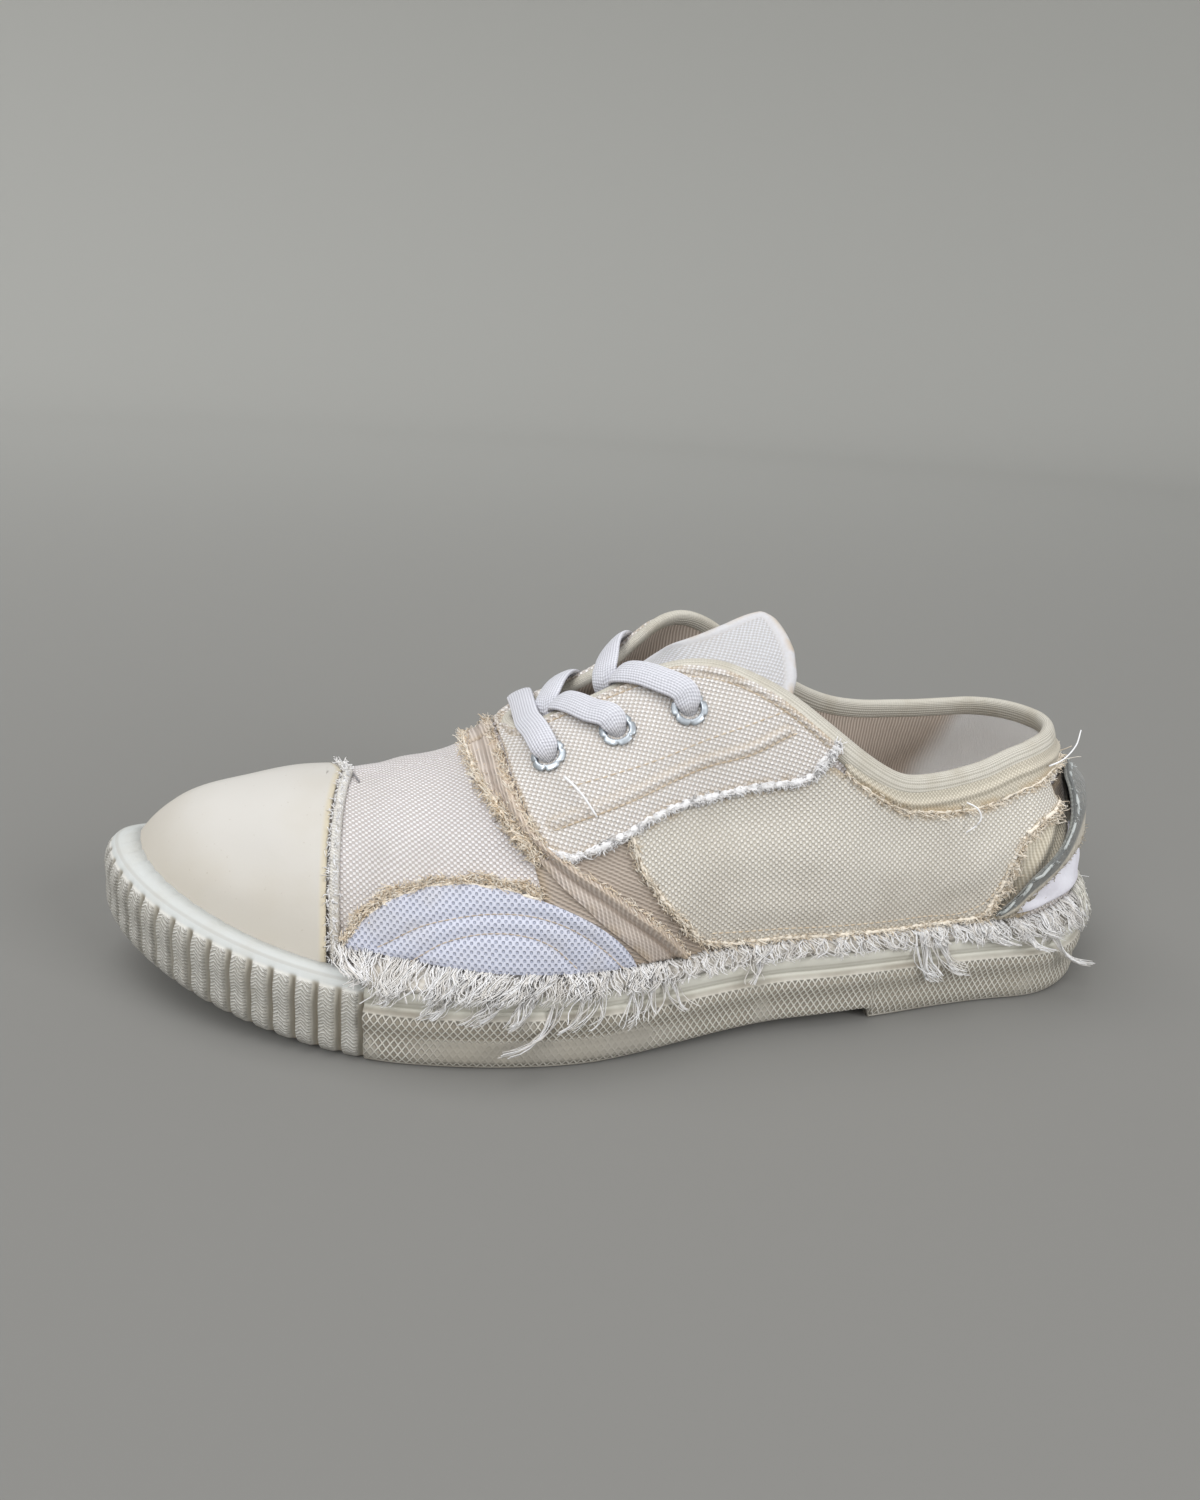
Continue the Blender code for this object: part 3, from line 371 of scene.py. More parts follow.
def bed(x):
    """Height that the plate and the side's lines follow, smooth over the heel breast."""
    t = np.clip((x - SHANK_START) / (SHANK_END - SHANK_START), 0, 1)
    return spring(x) + SHANK_RISE * np.sin(PI * t) ** 2


def rubber_wall(s):
    return np.interp(s, RUBBER[:, 0], RUBBER[:, 1])


def cap_room(s):
    return np.interp(s, RUBBER[:, 0], RUBBER[:, 2])


print("sole length", LENGTH, "ball width", OUTLINE[OUTER]["ball_y"] + OUTLINE[INNER]["ball_y"])

# %% [markdown]
# The last is the form inside the upper. A last maker works with cross sections; here each rib is a
# superellipse from the sole's edge up to the crown line, with a fullness for each side and a swell
# low down. The table gives the crown's height and the fullness at stations along the foot.

# %% the last
# x, crown height, crown y, fullness outer, fullness inner, swell outer, swell inner
SECTIONS = np.array([
    (8, 56.5, 11.0, 2.45, 2.45, 0.0, 0.0),
    (40, 56.5, 11.0, 2.22, 2.40, 0.0, 0.0),
    (61.5, 56.5, 11.0, 2.13, 2.30, 0.0, 0.0),
    (80, 59.3, 9.6, 2.10, 2.30, 0.8, 0.4),
    (95, 63.2, 7.8, 2.05, 2.35, 1.6, 0.8),
    (107, 70.0, 6.0, 2.00, 2.30, 2.0, 1.0),
    (118, 78.5, 4.2, 1.96, 2.15, 2.0, 1.0),
    (126, 83.6, 3.0, 1.97, 2.05, 1.8, 0.8),
    (134, 88.2, 2.6, 1.98, 2.00, 1.6, 0.6),
    (142, 93.5, 3.4, 1.95, 2.05, 1.3, 0.3),
    (150, 100.0, 5.2, 1.88, 2.40, 1.0, 0.0),
    (158, 106.2, 6.8, 1.82, 2.70, 0.7, 0.0),
    (164, 109.2, 7.4, 1.84, 2.80, 0.5, 0.0),
    (178, 111.8, 6.5, 1.95, 2.70, 0.0, 0.0),
    (200, 111.0, 3.5, 2.05, 2.40, 0.5, 0.5),
    (230, 107.0, 1.0, 1.95, 2.10, 1.5, 1.2),
    (262, 105.0, 0.0, 1.58, 1.62, 3.2, 3.0),
    (289, 104.0, 0.0, 1.45, 1.48, 3.4, 3.4),
    (316, 103.0, 0.0, 1.58, 1.58, 3.0, 3.0),
])


def last_inset(s):
    return rubber_wall(s) + cap_room(s) + GAP


def foot_line(side, s):
    """Plan of the last's lower edge, set in from the sole's edge."""
    return outline(side, s) + inward(side, s) * last_inset(s)[..., None]


def station(side, x):
    """Station whose point on the last's lower edge lies at x."""
    s = np.linspace(0, HEEL_X, 2400)
    return np.interp(x, np.maximum.accumulate(foot_line(side, s)[:, 0]), s)


def rib(side, s):
    """One rib of the last: foot, direction to the crown, reach, base height, rise, fullness, swell."""
    foot = foot_line(side, s)
    axis_x = np.clip(foot[..., 0], TOE_X, HEEL_X)
    at = np.where(s > HEEL_X, s, foot[..., 0])
    look = [read(SECTIONS, k, at if k > 2 else axis_x) for k in range(1, 7)]
    reach = np.linalg.norm(np.stack([axis_x, look[1]], -1) - foot, axis=-1)
    way = (np.stack([axis_x, look[1]], -1) - foot) / reach[..., None]
    base = bed(foot[..., 0]) + PLATE_THICKNESS + GAP
    full, swell = (look[2], look[4]) if side == OUTER else (look[3], look[5])
    return foot, way, reach, base, look[0] - base, full, swell


def last_point(side, s, angle):
    """Superellipse rib: height grows as sin^(2/n), reach as 1 - cos^(2/n); 90 degrees is the crown."""
    s = np.asarray(s, float)
    foot, way, reach, base, rise, full, swell = rib(side, s)
    up = np.clip(np.sin(angle), 0, 1) ** (2 / full)
    over = 1 - np.clip(np.cos(angle), 0, 1) ** (2 / full)
    bulge = swell * np.sin(PI * np.clip(up / 0.7, 0, 1)) ** 2
    plan = foot + way * (reach * over - bulge)[..., None]
    return np.concatenate([plan, (base + rise * up)[..., None]], -1)


def angle_at_height(side, s, z):
    s = np.asarray(s, float)
    _, _, _, base, rise, full, _ = rib(side, s)
    return np.arcsin(np.clip((z - base) / rise, 0, 1) ** (full / 2))


def angle_at_gap(side, s, gap):
    s = np.asarray(s, float)
    _, _, reach, _, _, full, _ = rib(side, s)
    return np.arccos(np.clip(gap / reach, 0, 1) ** (full / 2))


print("crown over the toe", last_point(OUTER, station(OUTER, TOE_X), PI / 2).round(1))

# %% [markdown]
# Worn canvas is never a clean curve. The creases below are soft troughs and ridges laid one by one:
# each row is a line on the side of the shoe, how wide it is and how far it sinks or swells. They
# move every layer at that place together, as cloth that was glued and sewn up does.

# %% creases
# x and z of both ends, half width, height (negative sinks)
CREASES = np.array([
    (70, 46, 74, 59, 3.0, -0.7),
    (76, 40, 80, 57, 4.0, 0.5),
    (84, 50, 96, 62, 5.0, -0.6),
    (100, 50, 110, 62, 4.0, 0.5),
    (128, 34, 150, 48, 4.0, -0.7),
    (150, 60, 196, 66, 7.0, -1.5),
    (160, 52, 215, 47, 9.0, 0.9),
    (166, 38, 200, 36, 5.0, 1.1),
    (205, 58, 240, 50, 8.0, -0.8),
    (240, 40, 262, 54, 5.0, 0.7),
    (232, 34, 250, 38, 4.0, -0.6),
    (124, 58, 150, 70, 3.0, 0.4),
    (150, 86, 176, 96, 4.0, -0.5),
    (190, 84, 214, 73, 4.0, 0.4),
])
INNER_SHIFT = (5.0, 2.0)
SLACK = 0.22


def crease_lines():
    """Ends of each crease in space, on both sides, the inner ones moved a little."""
    lines = []
    for side, _ in SIDES:
        move = INNER_SHIFT if side == INNER else (0, 0)
        ends = []
        for x, z in ((0, 1), (2, 3)):
            s = station(side, CREASES[:, x] + move[0])
            ends.append(last_point(side, s, angle_at_height(side, s, CREASES[:, z] + move[1])))
        lines += list(zip(*ends, CREASES[:, 4], CREASES[:, 5]))
    return lines


CREASE_LINES = crease_lines()


def relief(p):
    """Sum of bell-shaped ridges round each crease's line, and a slow waviness of the cloth."""
    total = SLACK * np.sin(p[..., 0] / 9.1 + p[..., 1] / 13) * np.sin(p[..., 2] / 7.7 + p[..., 0] / 21)
    for start, end, width, height in CREASE_LINES:
        run = end - start
        t = np.clip(((p - start) @ run) / (run @ run), 0, 1)
        away = np.linalg.norm(p - start - t[..., None] * run, axis=-1)
        total = total + height * bell(away, 0, width) * (0.35 + 2.6 * t * (1 - t))
    return total * ease(p[..., 0], TOE_X + 4, 0, TOE_X + 16, 1)


def skin(side, s, angle, lift=0.0, creased=True):
    """Point on the last moved out along its normal by lift and by the creases."""
    s, angle = np.broadcast_arrays(np.asarray(s, float), np.asarray(angle, float))
    ds, da = 0.3, 0.004
    before = np.where((s < ds)[..., None], last_point(-side, np.maximum(ds - s, 0), angle),
                      last_point(side, np.maximum(s - ds, 0), angle))
    along = last_point(side, np.minimum(s + ds, LAST_STATION), angle) - before
    upward = (last_point(side, s, np.minimum(angle + da, PI / 2))
              - last_point(side, s, np.maximum(angle - da, 0)))
    normal = np.cross(along, upward) * -side
    normal[s >= LAST_STATION, 1] = 0
    normal[np.linalg.norm(normal, axis=-1) < 1e-7] = (0, 0, 1)
    p = last_point(side, s, angle)
    lift = np.broadcast_to(np.asarray(lift, float), s.shape) + (relief(p) if creased else 0)
    return p + unit(normal) * lift[..., None]


print("creases", len(CREASE_LINES))

# %% [markdown]
# The opening runs from the throat's round nose, up both sides of the lacing and round the collar.
# A rib ends at a gap from the crown line in the throat, and at a height in the collar; one smooth
# curve of angles joins the two tables.

# %% opening
THROAT_X, THROAT_ROUND = 115.0, 7.0
# x, distance of the opening from the crown line on the outer and inner side
THROAT = np.array([(115, 7.0, 6.5), (127, 7.2, 6.6), (136, 8.3, 7.1), (145, 10.6, 7.8), (158, 16.0, 8.9)])
# station, height of the topline outer and inner
COLLAR = np.array([
    (172, 99.5, 104.0), (182, 95.0, 97.5), (194, 86.5, 88.5), (206, 78.0, 81.0), (218, 72.0, 76.0),
    (231, 71.0, 74.0), (246, 72.4, 74.8), (262, 76.3, 76.5), (289, 78.5, 78.5), (316, 79.0, 79.0),
])


def opening_angle(side, s, drop=0.0):
    """Angle at which a rib ends, drop millimetres outside the throat and collar opening."""
    s = np.atleast_1d(np.asarray(s, float))
    drop = np.broadcast_to(drop, s.shape)
    column = 1 if side == OUTER else 2
    xs = np.concatenate([THROAT[:, 0], COLLAR[:, 0]])
    drops = np.unique(drop)
    angle = np.zeros(s.shape)
    for d in drops if len(drops) < 4 else np.linspace(drops[0], drops[-1], 9):
        throat = angle_at_gap(side, THROAT[:, 0], THROAT[:, column] + d)
        collar = angle_at_height(side, COLLAR[:, 0], COLLAR[:, column] - d)
        curve = smooth(s, xs, np.concatenate([throat, collar]))
        if len(drops) < 4:
            angle = np.where(drop == d, curve, angle)
        else:
            width = (drops[-1] - drops[0]) / 8
            angle = angle + curve * np.clip(1 - np.abs(drop - d) / width, 0, 1)
    _, _, reach, _, _, full, _ = rib(side, s)
    t = np.clip((s - THROAT_X + drop) / THROAT_ROUND, 0, 1)
    gap = reach * np.cos(angle) ** (2 / full) * np.sqrt(1 - (1 - t) ** 2)
    return angle_at_gap(side, s, gap)


def beside_opening(side, s, drop):
    """Line of (station, angle) pairs that keeps drop millimetres from the opening."""
    return np.column_stack([s, opening_angle(side, s, drop)])


print("topline at the heel", last_point(OUTER, 316.0, opening_angle(OUTER, 316.0)).round(1))

# %% [markdown]
# Every piece of cloth is a grid of stations and angles on the last. The helpers turn such grids
# into a mesh with its own directions in millimetres (for weaves), a wall of the right thickness and
# a soft rim. Fields such as edge and the soil field (dirt, and on some pieces painted shade) travel
# with the points and steer the colours.

# %% mesh helpers
def quads(width, height, turned=False, start=0):
    """Faces of a grid of points stored column after column."""
    c, r = np.meshgrid(np.arange(width - 1), np.arange(height - 1), indexing="ij")
    a = (start + c * height + r).ravel()
    faces = np.stack([a, a + height, a + height + 1, a + 1], 1)
    return faces[:, ::-1] if turned else faces


def add_piece(name, points, faces, paint, nodes=(), uv=None, fields=None, wall=0.0, weld=True):
    """Object from points in shoe millimetres that rides on the shoe and stands for CAD nodes."""
    mesh = bpy.data.meshes.new(name)
    mesh.from_pydata(to_world(points).tolist(), [], [list(map(int, f)) for f in faces])
    if uv is not None:
        layer = mesh.uv_layers.new(name="UVMap")
        corner = np.zeros(len(mesh.loops), np.int32)
        mesh.loops.foreach_get("vertex_index", corner)
        layer.data.foreach_set("uv", np.asarray(uv, float)[corner].ravel())
    for key, values in (fields or {}).items():
        mesh.attributes.new(key, "FLOAT", "POINT").data.foreach_set("value", np.asarray(values, float).ravel())
    if weld:
        work = bmesh.new()
        work.from_mesh(mesh)
        bmesh.ops.remove_doubles(work, verts=work.verts, dist=0.00002)
        bmesh.ops.dissolve_degenerate(work, edges=work.edges, dist=0.000001)
        work.to_mesh(mesh)
        work.free()
    mesh.materials.append(paint)
    mesh.shade_smooth()
    made = bpy.data.objects.new(name, mesh)
    bpy.context.scene.collection.objects.link(made)
    if wall:
        shell = made.modifiers.new("wall", "SOLIDIFY")
        shell.thickness, shell.offset = wall * MM, -1
    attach(made, "root")
    if nodes:
        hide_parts(*nodes)
    return made


def grid_uv(u, v):
    """One (u, v) pair for each point of a grid whose columns have u and whose rows have v."""
    return np.stack(np.broadcast_arrays(u[:, None], v[None]), -1).reshape(-1, 2)


def face_out(made):
    """Turn every face of a closed piece outward."""
    work = bmesh.new()
    work.from_mesh(made.data)
    bmesh.ops.recalc_face_normals(work, faces=work.faces)
    work.to_mesh(made.data)
    work.free()


def arc_lengths(grid):
    """Distances along the columns and along the rows of a grid of points."""
    down = np.linalg.norm(np.diff(grid, axis=1), axis=-1)
    over = np.linalg.norm(np.diff(grid, axis=0), axis=-1)
    v = np.concatenate([np.zeros((len(grid), 1)), np.cumsum(down, 1)], 1)
    u = np.concatenate([np.zeros((1, grid.shape[1])), np.cumsum(over, 0)], 0)
    return u, v


# which rims of a grid are free: first and last column, first and last row
ALL_ROUND, TOP_ONLY, BUT_LAST_COLUMN = (True,) * 4, (False, False, False, True), (True, False, True, True)


def edge_distance(grid, ends):
    """Way in from the nearest free rim, in millimetres."""
    u, v = arc_lengths(grid)
    ways = [np.full(u.shape, 99.0)]
    for wanted, way in zip(ends, (u, u[-1:] - u, v, v[:, -1:] - v)):
        if wanted:
            ways.append(way)
    return np.min(ways, 0)


def rib_way(side, s, angle):
    """Way up each rib of the last from its foot to an angle, in millimetres."""
    steps = last_point(side, s[..., None], angle[..., None] * np.linspace(0, 1, 12))
    return np.linalg.norm(np.diff(steps, axis=-2), axis=-1).sum(-1)


RIM_ROUND = 0.9


def sheet(name, parts, paint, wall, nodes=(), ends=ALL_ROUND, rim=0.5, inside=False, fields=None,
          creased=True, weave=None):
    """Cloth from (side, stations, angles, lift) grids; its rim rolls down by rim millimetres.

    The pattern runs with the grid, or with weave at that many degrees to the sole."""
    points, faces, uv, marks, start = [], [], [], {}, 0
    for side, s, a, lift in parts:
        flat = skin(side, s, a, 0.0, creased)
        away = edge_distance(flat, ends)
        lift = np.broadcast_to(np.asarray(lift, float), s.shape) - rim * bell(away, 0, RIM_ROUND)
        grid = skin(side, s, a, lift, creased)
        _, v = arc_lengths(flat)
        c, r = np.array(grid.shape[:2]) // 2
        face = np.cross(grid[c + 1, r] - grid[c, r], grid[c, r + 1] - grid[c, r])
        out = skin(side, s[c, r], a[c, r], 1.0) - skin(side, s[c, r], a[c, r], 0.0)
        turned = (face @ out < 0) != inside
        faces.append(quads(*grid.shape[:2], turned, start))
        points.append(grid.reshape(-1, 3))
        u = s
        if weave is not None:
            tilt, up = np.radians(weave), rib_way(side, s, a)
            u, v = s * np.cos(tilt) + up * np.sin(tilt), up * np.cos(tilt) - s * np.sin(tilt)
        uv.append(np.stack([u, v], -1).reshape(-1, 2))
        extra = {"edge": away} | (fields(side, s, a, grid) if fields else {})
        for key, value in extra.items():
            marks.setdefault(key, []).append(np.broadcast_to(value, s.shape).ravel())
        start += grid.shape[0] * grid.shape[1]
    marks = {key: np.concatenate(value) for key, value in marks.items()}
    add_piece(name, np.concatenate(points), np.concatenate(faces), paint, nodes, np.concatenate(uv), marks, wall)


def spaced(count, pull):
    """0 to 1, with steps that are finer at both ends, where a rim rolls over."""
    t = np.linspace(0, 1, count)
    return t + pull * (t * t * (3 - 2 * t) - t)


def curve_through(points, step):
    """Smooth line through a short list of points, with a point about every step."""
    points = np.asarray(points, float)
    way = way_along(points)
    t = np.linspace(0, way[-1], max(3, int(way[-1] / step)))
    return follow(t, way, points)


def spots(side, line):
    """Stations and angles of side-view points (x, height), also round the heel."""
    line = np.asarray(line, float)
    s = station(side, line[:, 0])
    for k in np.where(line[:, 0] > HEEL_X - 4)[0]:
        tries = np.linspace(HEEL_X - 10, LAST_STATION, 400)
        x = last_point(side, tries, angle_at_height(side, tries, line[k, 1]))[:, 0]
        s[k] = np.interp(line[k, 0], np.maximum.accumulate(x), tries)
    return s, angle_at_height(side, s, line[:, 1])


def straight(side, start, end, count):
    """Stations and angles along a straight side-view line between two points (x, height)."""
    return np.column_stack(spots(side, np.linspace(start, end, count)))


def ruled(low, high, rows, pull=0.9):
    """Stations and angles of a grid between two lines of (station, angle) pairs with the same count."""
    t = spaced(rows, pull)
    return [lo[:, None] + (hi - lo)[:, None] * t for lo, hi in zip(low.T, high.T)]


def resample(line, count, marks, at):
    """Equal points along a line; with marks, the shares of the way in at land on the marks."""
    way = way_along(line)
    share = np.linspace(0, 1, count)
    if marks is not None:
        share = np.interp(share, at, marks)
    return np.column_stack([np.interp(share * way[-1], way, line[:, k]) for k in range(line.shape[1])])


print("sheet helpers ready")

# %% [markdown]
# Fray and stitches are the shoe's character. A thread is a thin three-sided tube along a bent line;
# thousands are made at once as one array. A stitch is a short closed bead along a seam.

# %% threads and stitches
THREAD_STEPS, STITCH_SINK = 4, 0.05


def frames_on(side, s, a, lift):
    """Points on a line over the last with directions along it, outward and sideways."""
    p = skin(side, s, a, lift)
    out = unit(skin(side, s, a, np.asarray(lift) + 1.0) - p)
    along = unit(np.gradient(p, axis=0))
    return p, along, out, unit(np.cross(out, along)) * (1 if side == OUTER else -1)


def tubes(lines, radius, sides=3):
    """Closed thin tubes along lines[count, points, 3]; radius is per line and point."""
    count, steps = lines.shape[:2]
    ahead = unit(np.gradient(lines, axis=1))
    helper = np.where(np.abs(ahead[..., 2:]) > 0.8, (1.0, 0, 0), (0, 0, 1.0))
    one = unit(np.cross(ahead, helper))
    two = np.cross(ahead, one)
    turn = np.arange(sides) * 2 * PI / sides
    ring = one[:, :, None] * np.cos(turn)[:, None] + two[:, :, None] * np.sin(turn)[:, None]
    points = lines[:, :, None] + ring * np.broadcast_to(radius, lines.shape[:2])[:, :, None, None]
    k, j = np.meshgrid(np.arange(steps - 1), np.arange(sides), indexing="ij")
    k, j = k.ravel(), j.ravel()
    n = (j + 1) % sides
    wall = np.stack([k * sides + j, k * sides + n, (k + 1) * sides + n, (k + 1) * sides + j], 1)
    base = (np.arange(count) * steps * sides)[:, None, None]
    faces = (wall[None] + base).reshape(-1, 4).tolist()
    caps = [np.arange(sides)[::-1], (steps - 1) * sides + np.arange(sides)]
    for cap in caps:
        faces += (cap[None] + base[:, :, 0]).tolist()
    return points.reshape(-1, 3), faces


def threads(seed, path, count, length, away, spread, rise, curl, droop, thick, band=(0.0, 0.0)):
    """Loose threads rooted along a path or in a band beside it; away 1 or -1 is the side they leave to.

    Spread turns them along the path and rise lifts them, both by chance; curl bends and droop sinks them."""
    p, along, out, beside = path
    rng = np.random.RandomState(seed)
    at = rng.uniform(0, len(p) - 1.001, count)
    i, f = at.astype(int), (at % 1)[:, None]
    root, e, n, w = (q[i] * (1 - f) + q[i + 1] * f for q in (p, along, out, beside * away))
    ragged = 0.6 + 0.4 * np.sin(at * 0.23 + seed) * np.sin(at * 0.11 + 2 * seed)
    root = root + w * (rng.uniform(*band, count) * ragged)[:, None]
    turn = rng.normal(0, spread, count)[:, None]
    way = unit(w * np.cos(turn) + e * np.sin(turn) + n * rng.normal(rise * 0.5, rise, count)[:, None])
    reach = rng.uniform(*length, count)[:, None, None]
    u = np.linspace(0, 1, THREAD_STEPS)[None, :, None]
    phase, size = rng.uniform(0, 6.28, (2, count, 1, 1)), rng.normal(0, curl, (2, count, 1, 1))
    line = root[:, None] + way[:, None] * reach * u
    line = line + (e[:, None] * size[0] * np.sin(u * 5 + phase[0]) + n[:, None] * size[1] * np.sin(u * 4 + phase[1])
                   - e[:, None] * size[0] * np.sin(phase[0]) - n[:, None] * size[1] * np.sin(phase[1])) * reach * 0.5
    line[..., 2] -= (droop * reach * u * u)[..., 0]
    radius = thick * rng.uniform(0.6, 1.2, (count, 1)) * (1 - 0.45 * u[..., 0])
    tint = np.repeat(rng.uniform(0, 1, count), THREAD_STEPS * 3)
    return tubes(line, radius), tint


def add_threads(name, bundles, paint):
    """One piece from bundles of threads, each with its points, faces and tints."""
    points, faces, tint, start = [], [], [], 0
    for (p, f), t in bundles:
        points.append(p)
        faces += [[v + start for v in face] for face in f]
        tint.append(t)
        start += len(p)
    add_piece(name, np.concatenate(points), faces, paint, fields={"tint": np.concatenate(tint)}, weld=False)
    print(name, "faces", len(faces))


def cord(seed, path, radius, wander=0.25):
    """One thick soft roll along a line, whose thickness and height wander."""
    p, _, out, beside = path
    rng = np.random.RandomState(seed)
    way = np.arange(len(p)) * 0.35
    lump = sum(np.sin(way * f + rng.uniform(0, 6.3)) for f in (1.1, 2.3, 4.1)) / 3
    line = p + out * (lump * wander)[:, None] + beside * (np.roll(lump, 9) * wander)[:, None]
    return tubes(line[None], (radius * (1 + 0.3 * lump))[None], 8), np.full(len(p) * 8, 0.3)


def fray(seed, path, count, length, away, thick=0.28, rise=0.35, droop=0.15, spread=0.8):
    """Single ends that stand off a raw edge."""
    return threads(seed, path, count, length, away, spread, rise, 0.4, droop, thick)


def fluff(seed, path, count, band, away, length=(0.7, 2.2), thick=0.17):
    """Matted yarn: short curled threads rooted all over a band beside a path, lying every way."""
    return threads(seed, path, count, length, away, 1.5, 0.5, 0.7, 0.0, thick, band)


def stitches(path, length, gap, thick):
    """Beads along a seam: each a short bent tube whose ends dip into the cloth."""
    p, _, out, _ = path
    way = way_along(p)
    begin = np.arange(0.3, way[-1] - length, length + gap)
    u = np.linspace(0, 1, 5)
    at = begin[:, None] + length * u
    line = np.stack([np.interp(at, way, p[:, k]) for k in range(3)], -1)
    n = np.stack([np.interp(at, way, out[:, k]) for k in range(3)], -1)
    line = line + n * (thick * 0.9 * np.sin(PI * u) - STITCH_SINK)[None, :, None]
    radius = np.broadcast_to(thick * (0.55 + 0.45 * np.sin(PI * u)), at.shape)
    return tubes(line, radius, 5), np.repeat(np.linspace(0, 1, len(begin)) * 37 % 1, 25)


print("thread helpers ready")

# %% [markdown]
# The canvas is a coarse basket weave: pairs of yarns go over and under, so that pale dots stand in
# staggered rows. The product of two sines gives that checker of raised and sunken spots. The sunken
# spots are painted in a darker shade colour, as painted shade in the weave's hollows; yellow gathers
# near raw edges, and grey near the sole.

# %% cloth finishes
CANVAS_DIRT, GOLD = (0.40, 0.35, 0.28), (0.52, 0.38, 0.21)
GRIME_LOW = 24.0


def soiled(paint, colour, dirt, gold, strength, yellow=0.55):
    """Colour with grime rising from the sole, blotches, the soil field (dirt, and painted shade where a piece paints
    it), and yellow where the piece's edge is near.
    """
    z = paint.axis(2)
    blotch = paint.noise(0.045, 4.0).step(0.45, 0.75)
    speck = paint.noise(0.55, 2.0).step(0.62, 0.8)
    grime = (1 - z.step(GRIME_LOW, GRIME_LOW + 30)) * (paint.noise(0.09, 3.0) * 0.7 + 0.1)
    grime = grime + blotch * 0.22 + speck * 0.12 + paint.field("soil_and_shade")
    rust = (1 - paint.field("edge").step(0.4, 3.2)) * paint.noise(0.16, 2.0).step(0.35, 0.6)
    colour = paint.mix((grime * strength).least(1.0), colour, dirt)
    stain = rust * yellow + paint.field("gold")
    return paint.mix(stain.least(1.0), colour, gold)


def basket(paint, across=0.86, along=0.80, wobble=0.5):
    """1 on a raised yarn, 0 in a sunken one."""
    u, v = paint.across()
    drift = (paint.noise(0.12, 2.0) - 0.5) * wobble
    checker = ((u + drift) * (PI / across)).sine() * ((v - drift) * (PI / along)).sine()
    return checker.step(-0.5, 0.6)


def canvas_finish(name, light, shade, strength, pitch=(0.86, 0.80), depth=0.5, plain=None):
    """Basket weave; where the field called plain is 1, a soft fuzzy tape shows instead."""
    paint = Paint(name)
    raised = basket(paint, *pitch)
    if plain:
        share = paint.field(plain)
        raised = raised * (1 - share) + share * (0.35 + paint.noise(1.1, 3.0) * 0.5)
    yarn = paint.noise(1.6, 2.0)
    colour = paint.mix(raised * 0.8 + yarn * 0.2, shade, light)
    colour = soiled(paint, colour, CANVAS_DIRT, GOLD, strength)
    height = raised * 0.85 + yarn * 0.15
    return paint.finish(colour, 0.92, height, depth, {"Sheen Weight": 0.15})


def twill_finish(name, light, shade, dirt, gold, pitch, slant, depth=0.22, yellow=0.3):
    """Diagonal ribs: a sine along a slanted direction, broken up by the yarns."""
    paint = Paint(name)
    u, v = paint.across()
    drift = (paint.noise(0.2, 2.0) - 0.5) * 0.8
    ribs, cross = (u * slant + v + drift).wave(pitch), (v - u * 0.2).wave(0.9)
    raised = ribs * 0.75 + cross * 0.25
    colour = soiled(paint, paint.mix(raised, shade, light), dirt, gold, 1.0, yellow)
    return paint.finish(colour, 0.95, raised, depth, {"Sheen Weight": 0.2})


def tape_finish(name, light, shade, pitch, depth):
    """Ribs along a tape: v runs across it in millimetres, u along it gives the tiny cross yarns."""
    paint = Paint(name)
    u, v = paint.across()
    ribs = v.wave(pitch)
    cross = (u + ribs * 0.3).wave(0.8)
    raised = ribs * 0.7 + cross * 0.3
    grime = paint.noise(0.11, 4.0).step(0.4, 0.75)
    colour = paint.mix(raised * 0.9 + 0.05, shade, light)
    colour = paint.mix(grime * 0.4, colour, (0.42, 0.37, 0.28))
    return paint.finish(colour, 0.9, raised, depth)


def dimple_finish(name, light, shade, dirt):
    """Smooth bonded cloth pressed with staggered dimples."""
    paint = Paint(name)
    u, v = paint.across()
    drift = (paint.noise(0.1, 1.0) - 0.5) * 0.4
    checker = ((u + drift) * (PI / 0.88)).sine() * ((v + drift) * (PI / 1.05)).sine()
    raised = 1 - checker.step(0.0, 0.85)
    colour = paint.mix(raised, shade, light)
    blotch = paint.noise(0.07, 4.0).step(0.5, 0.8) * 0.35 + paint.field("soil_and_shade")
    colour = paint.mix(blotch.least(1.0), colour, dirt)
    return paint.finish(colour, 0.7, raised, 0.42)


def felt_finish():
    """Matted felt: beige at its foot and dark grey towards the free edge, partly its own grey and partly painted shade;
    the top rim is darker still, as painted shade.
    """
    paint = Paint("worn_felt")
    share = paint.field("share")
    grain = paint.noise(0.9, 5.0)
    colour = paint.mix(grain.step(0.3, 0.7), (0.46, 0.42, 0.34), (0.66, 0.61, 0.52))
    # dark grey towards the free edge: partly the felt's own grey, partly painted shade
    dark = share.step(0.30, 0.52) * (0.7 + grain * 0.5)
    colour = paint.mix(dark.least(1.0), colour, (0.16, 0.165, 0.16))
    # painted shade: the top rim darker still
    colour = paint.mix(share.step(0.97, 1.0), colour, (0.17, 0.18, 0.18))
    return paint.finish(colour, 0.97, grain, 0.5, {"Sheen Weight": 0.3})


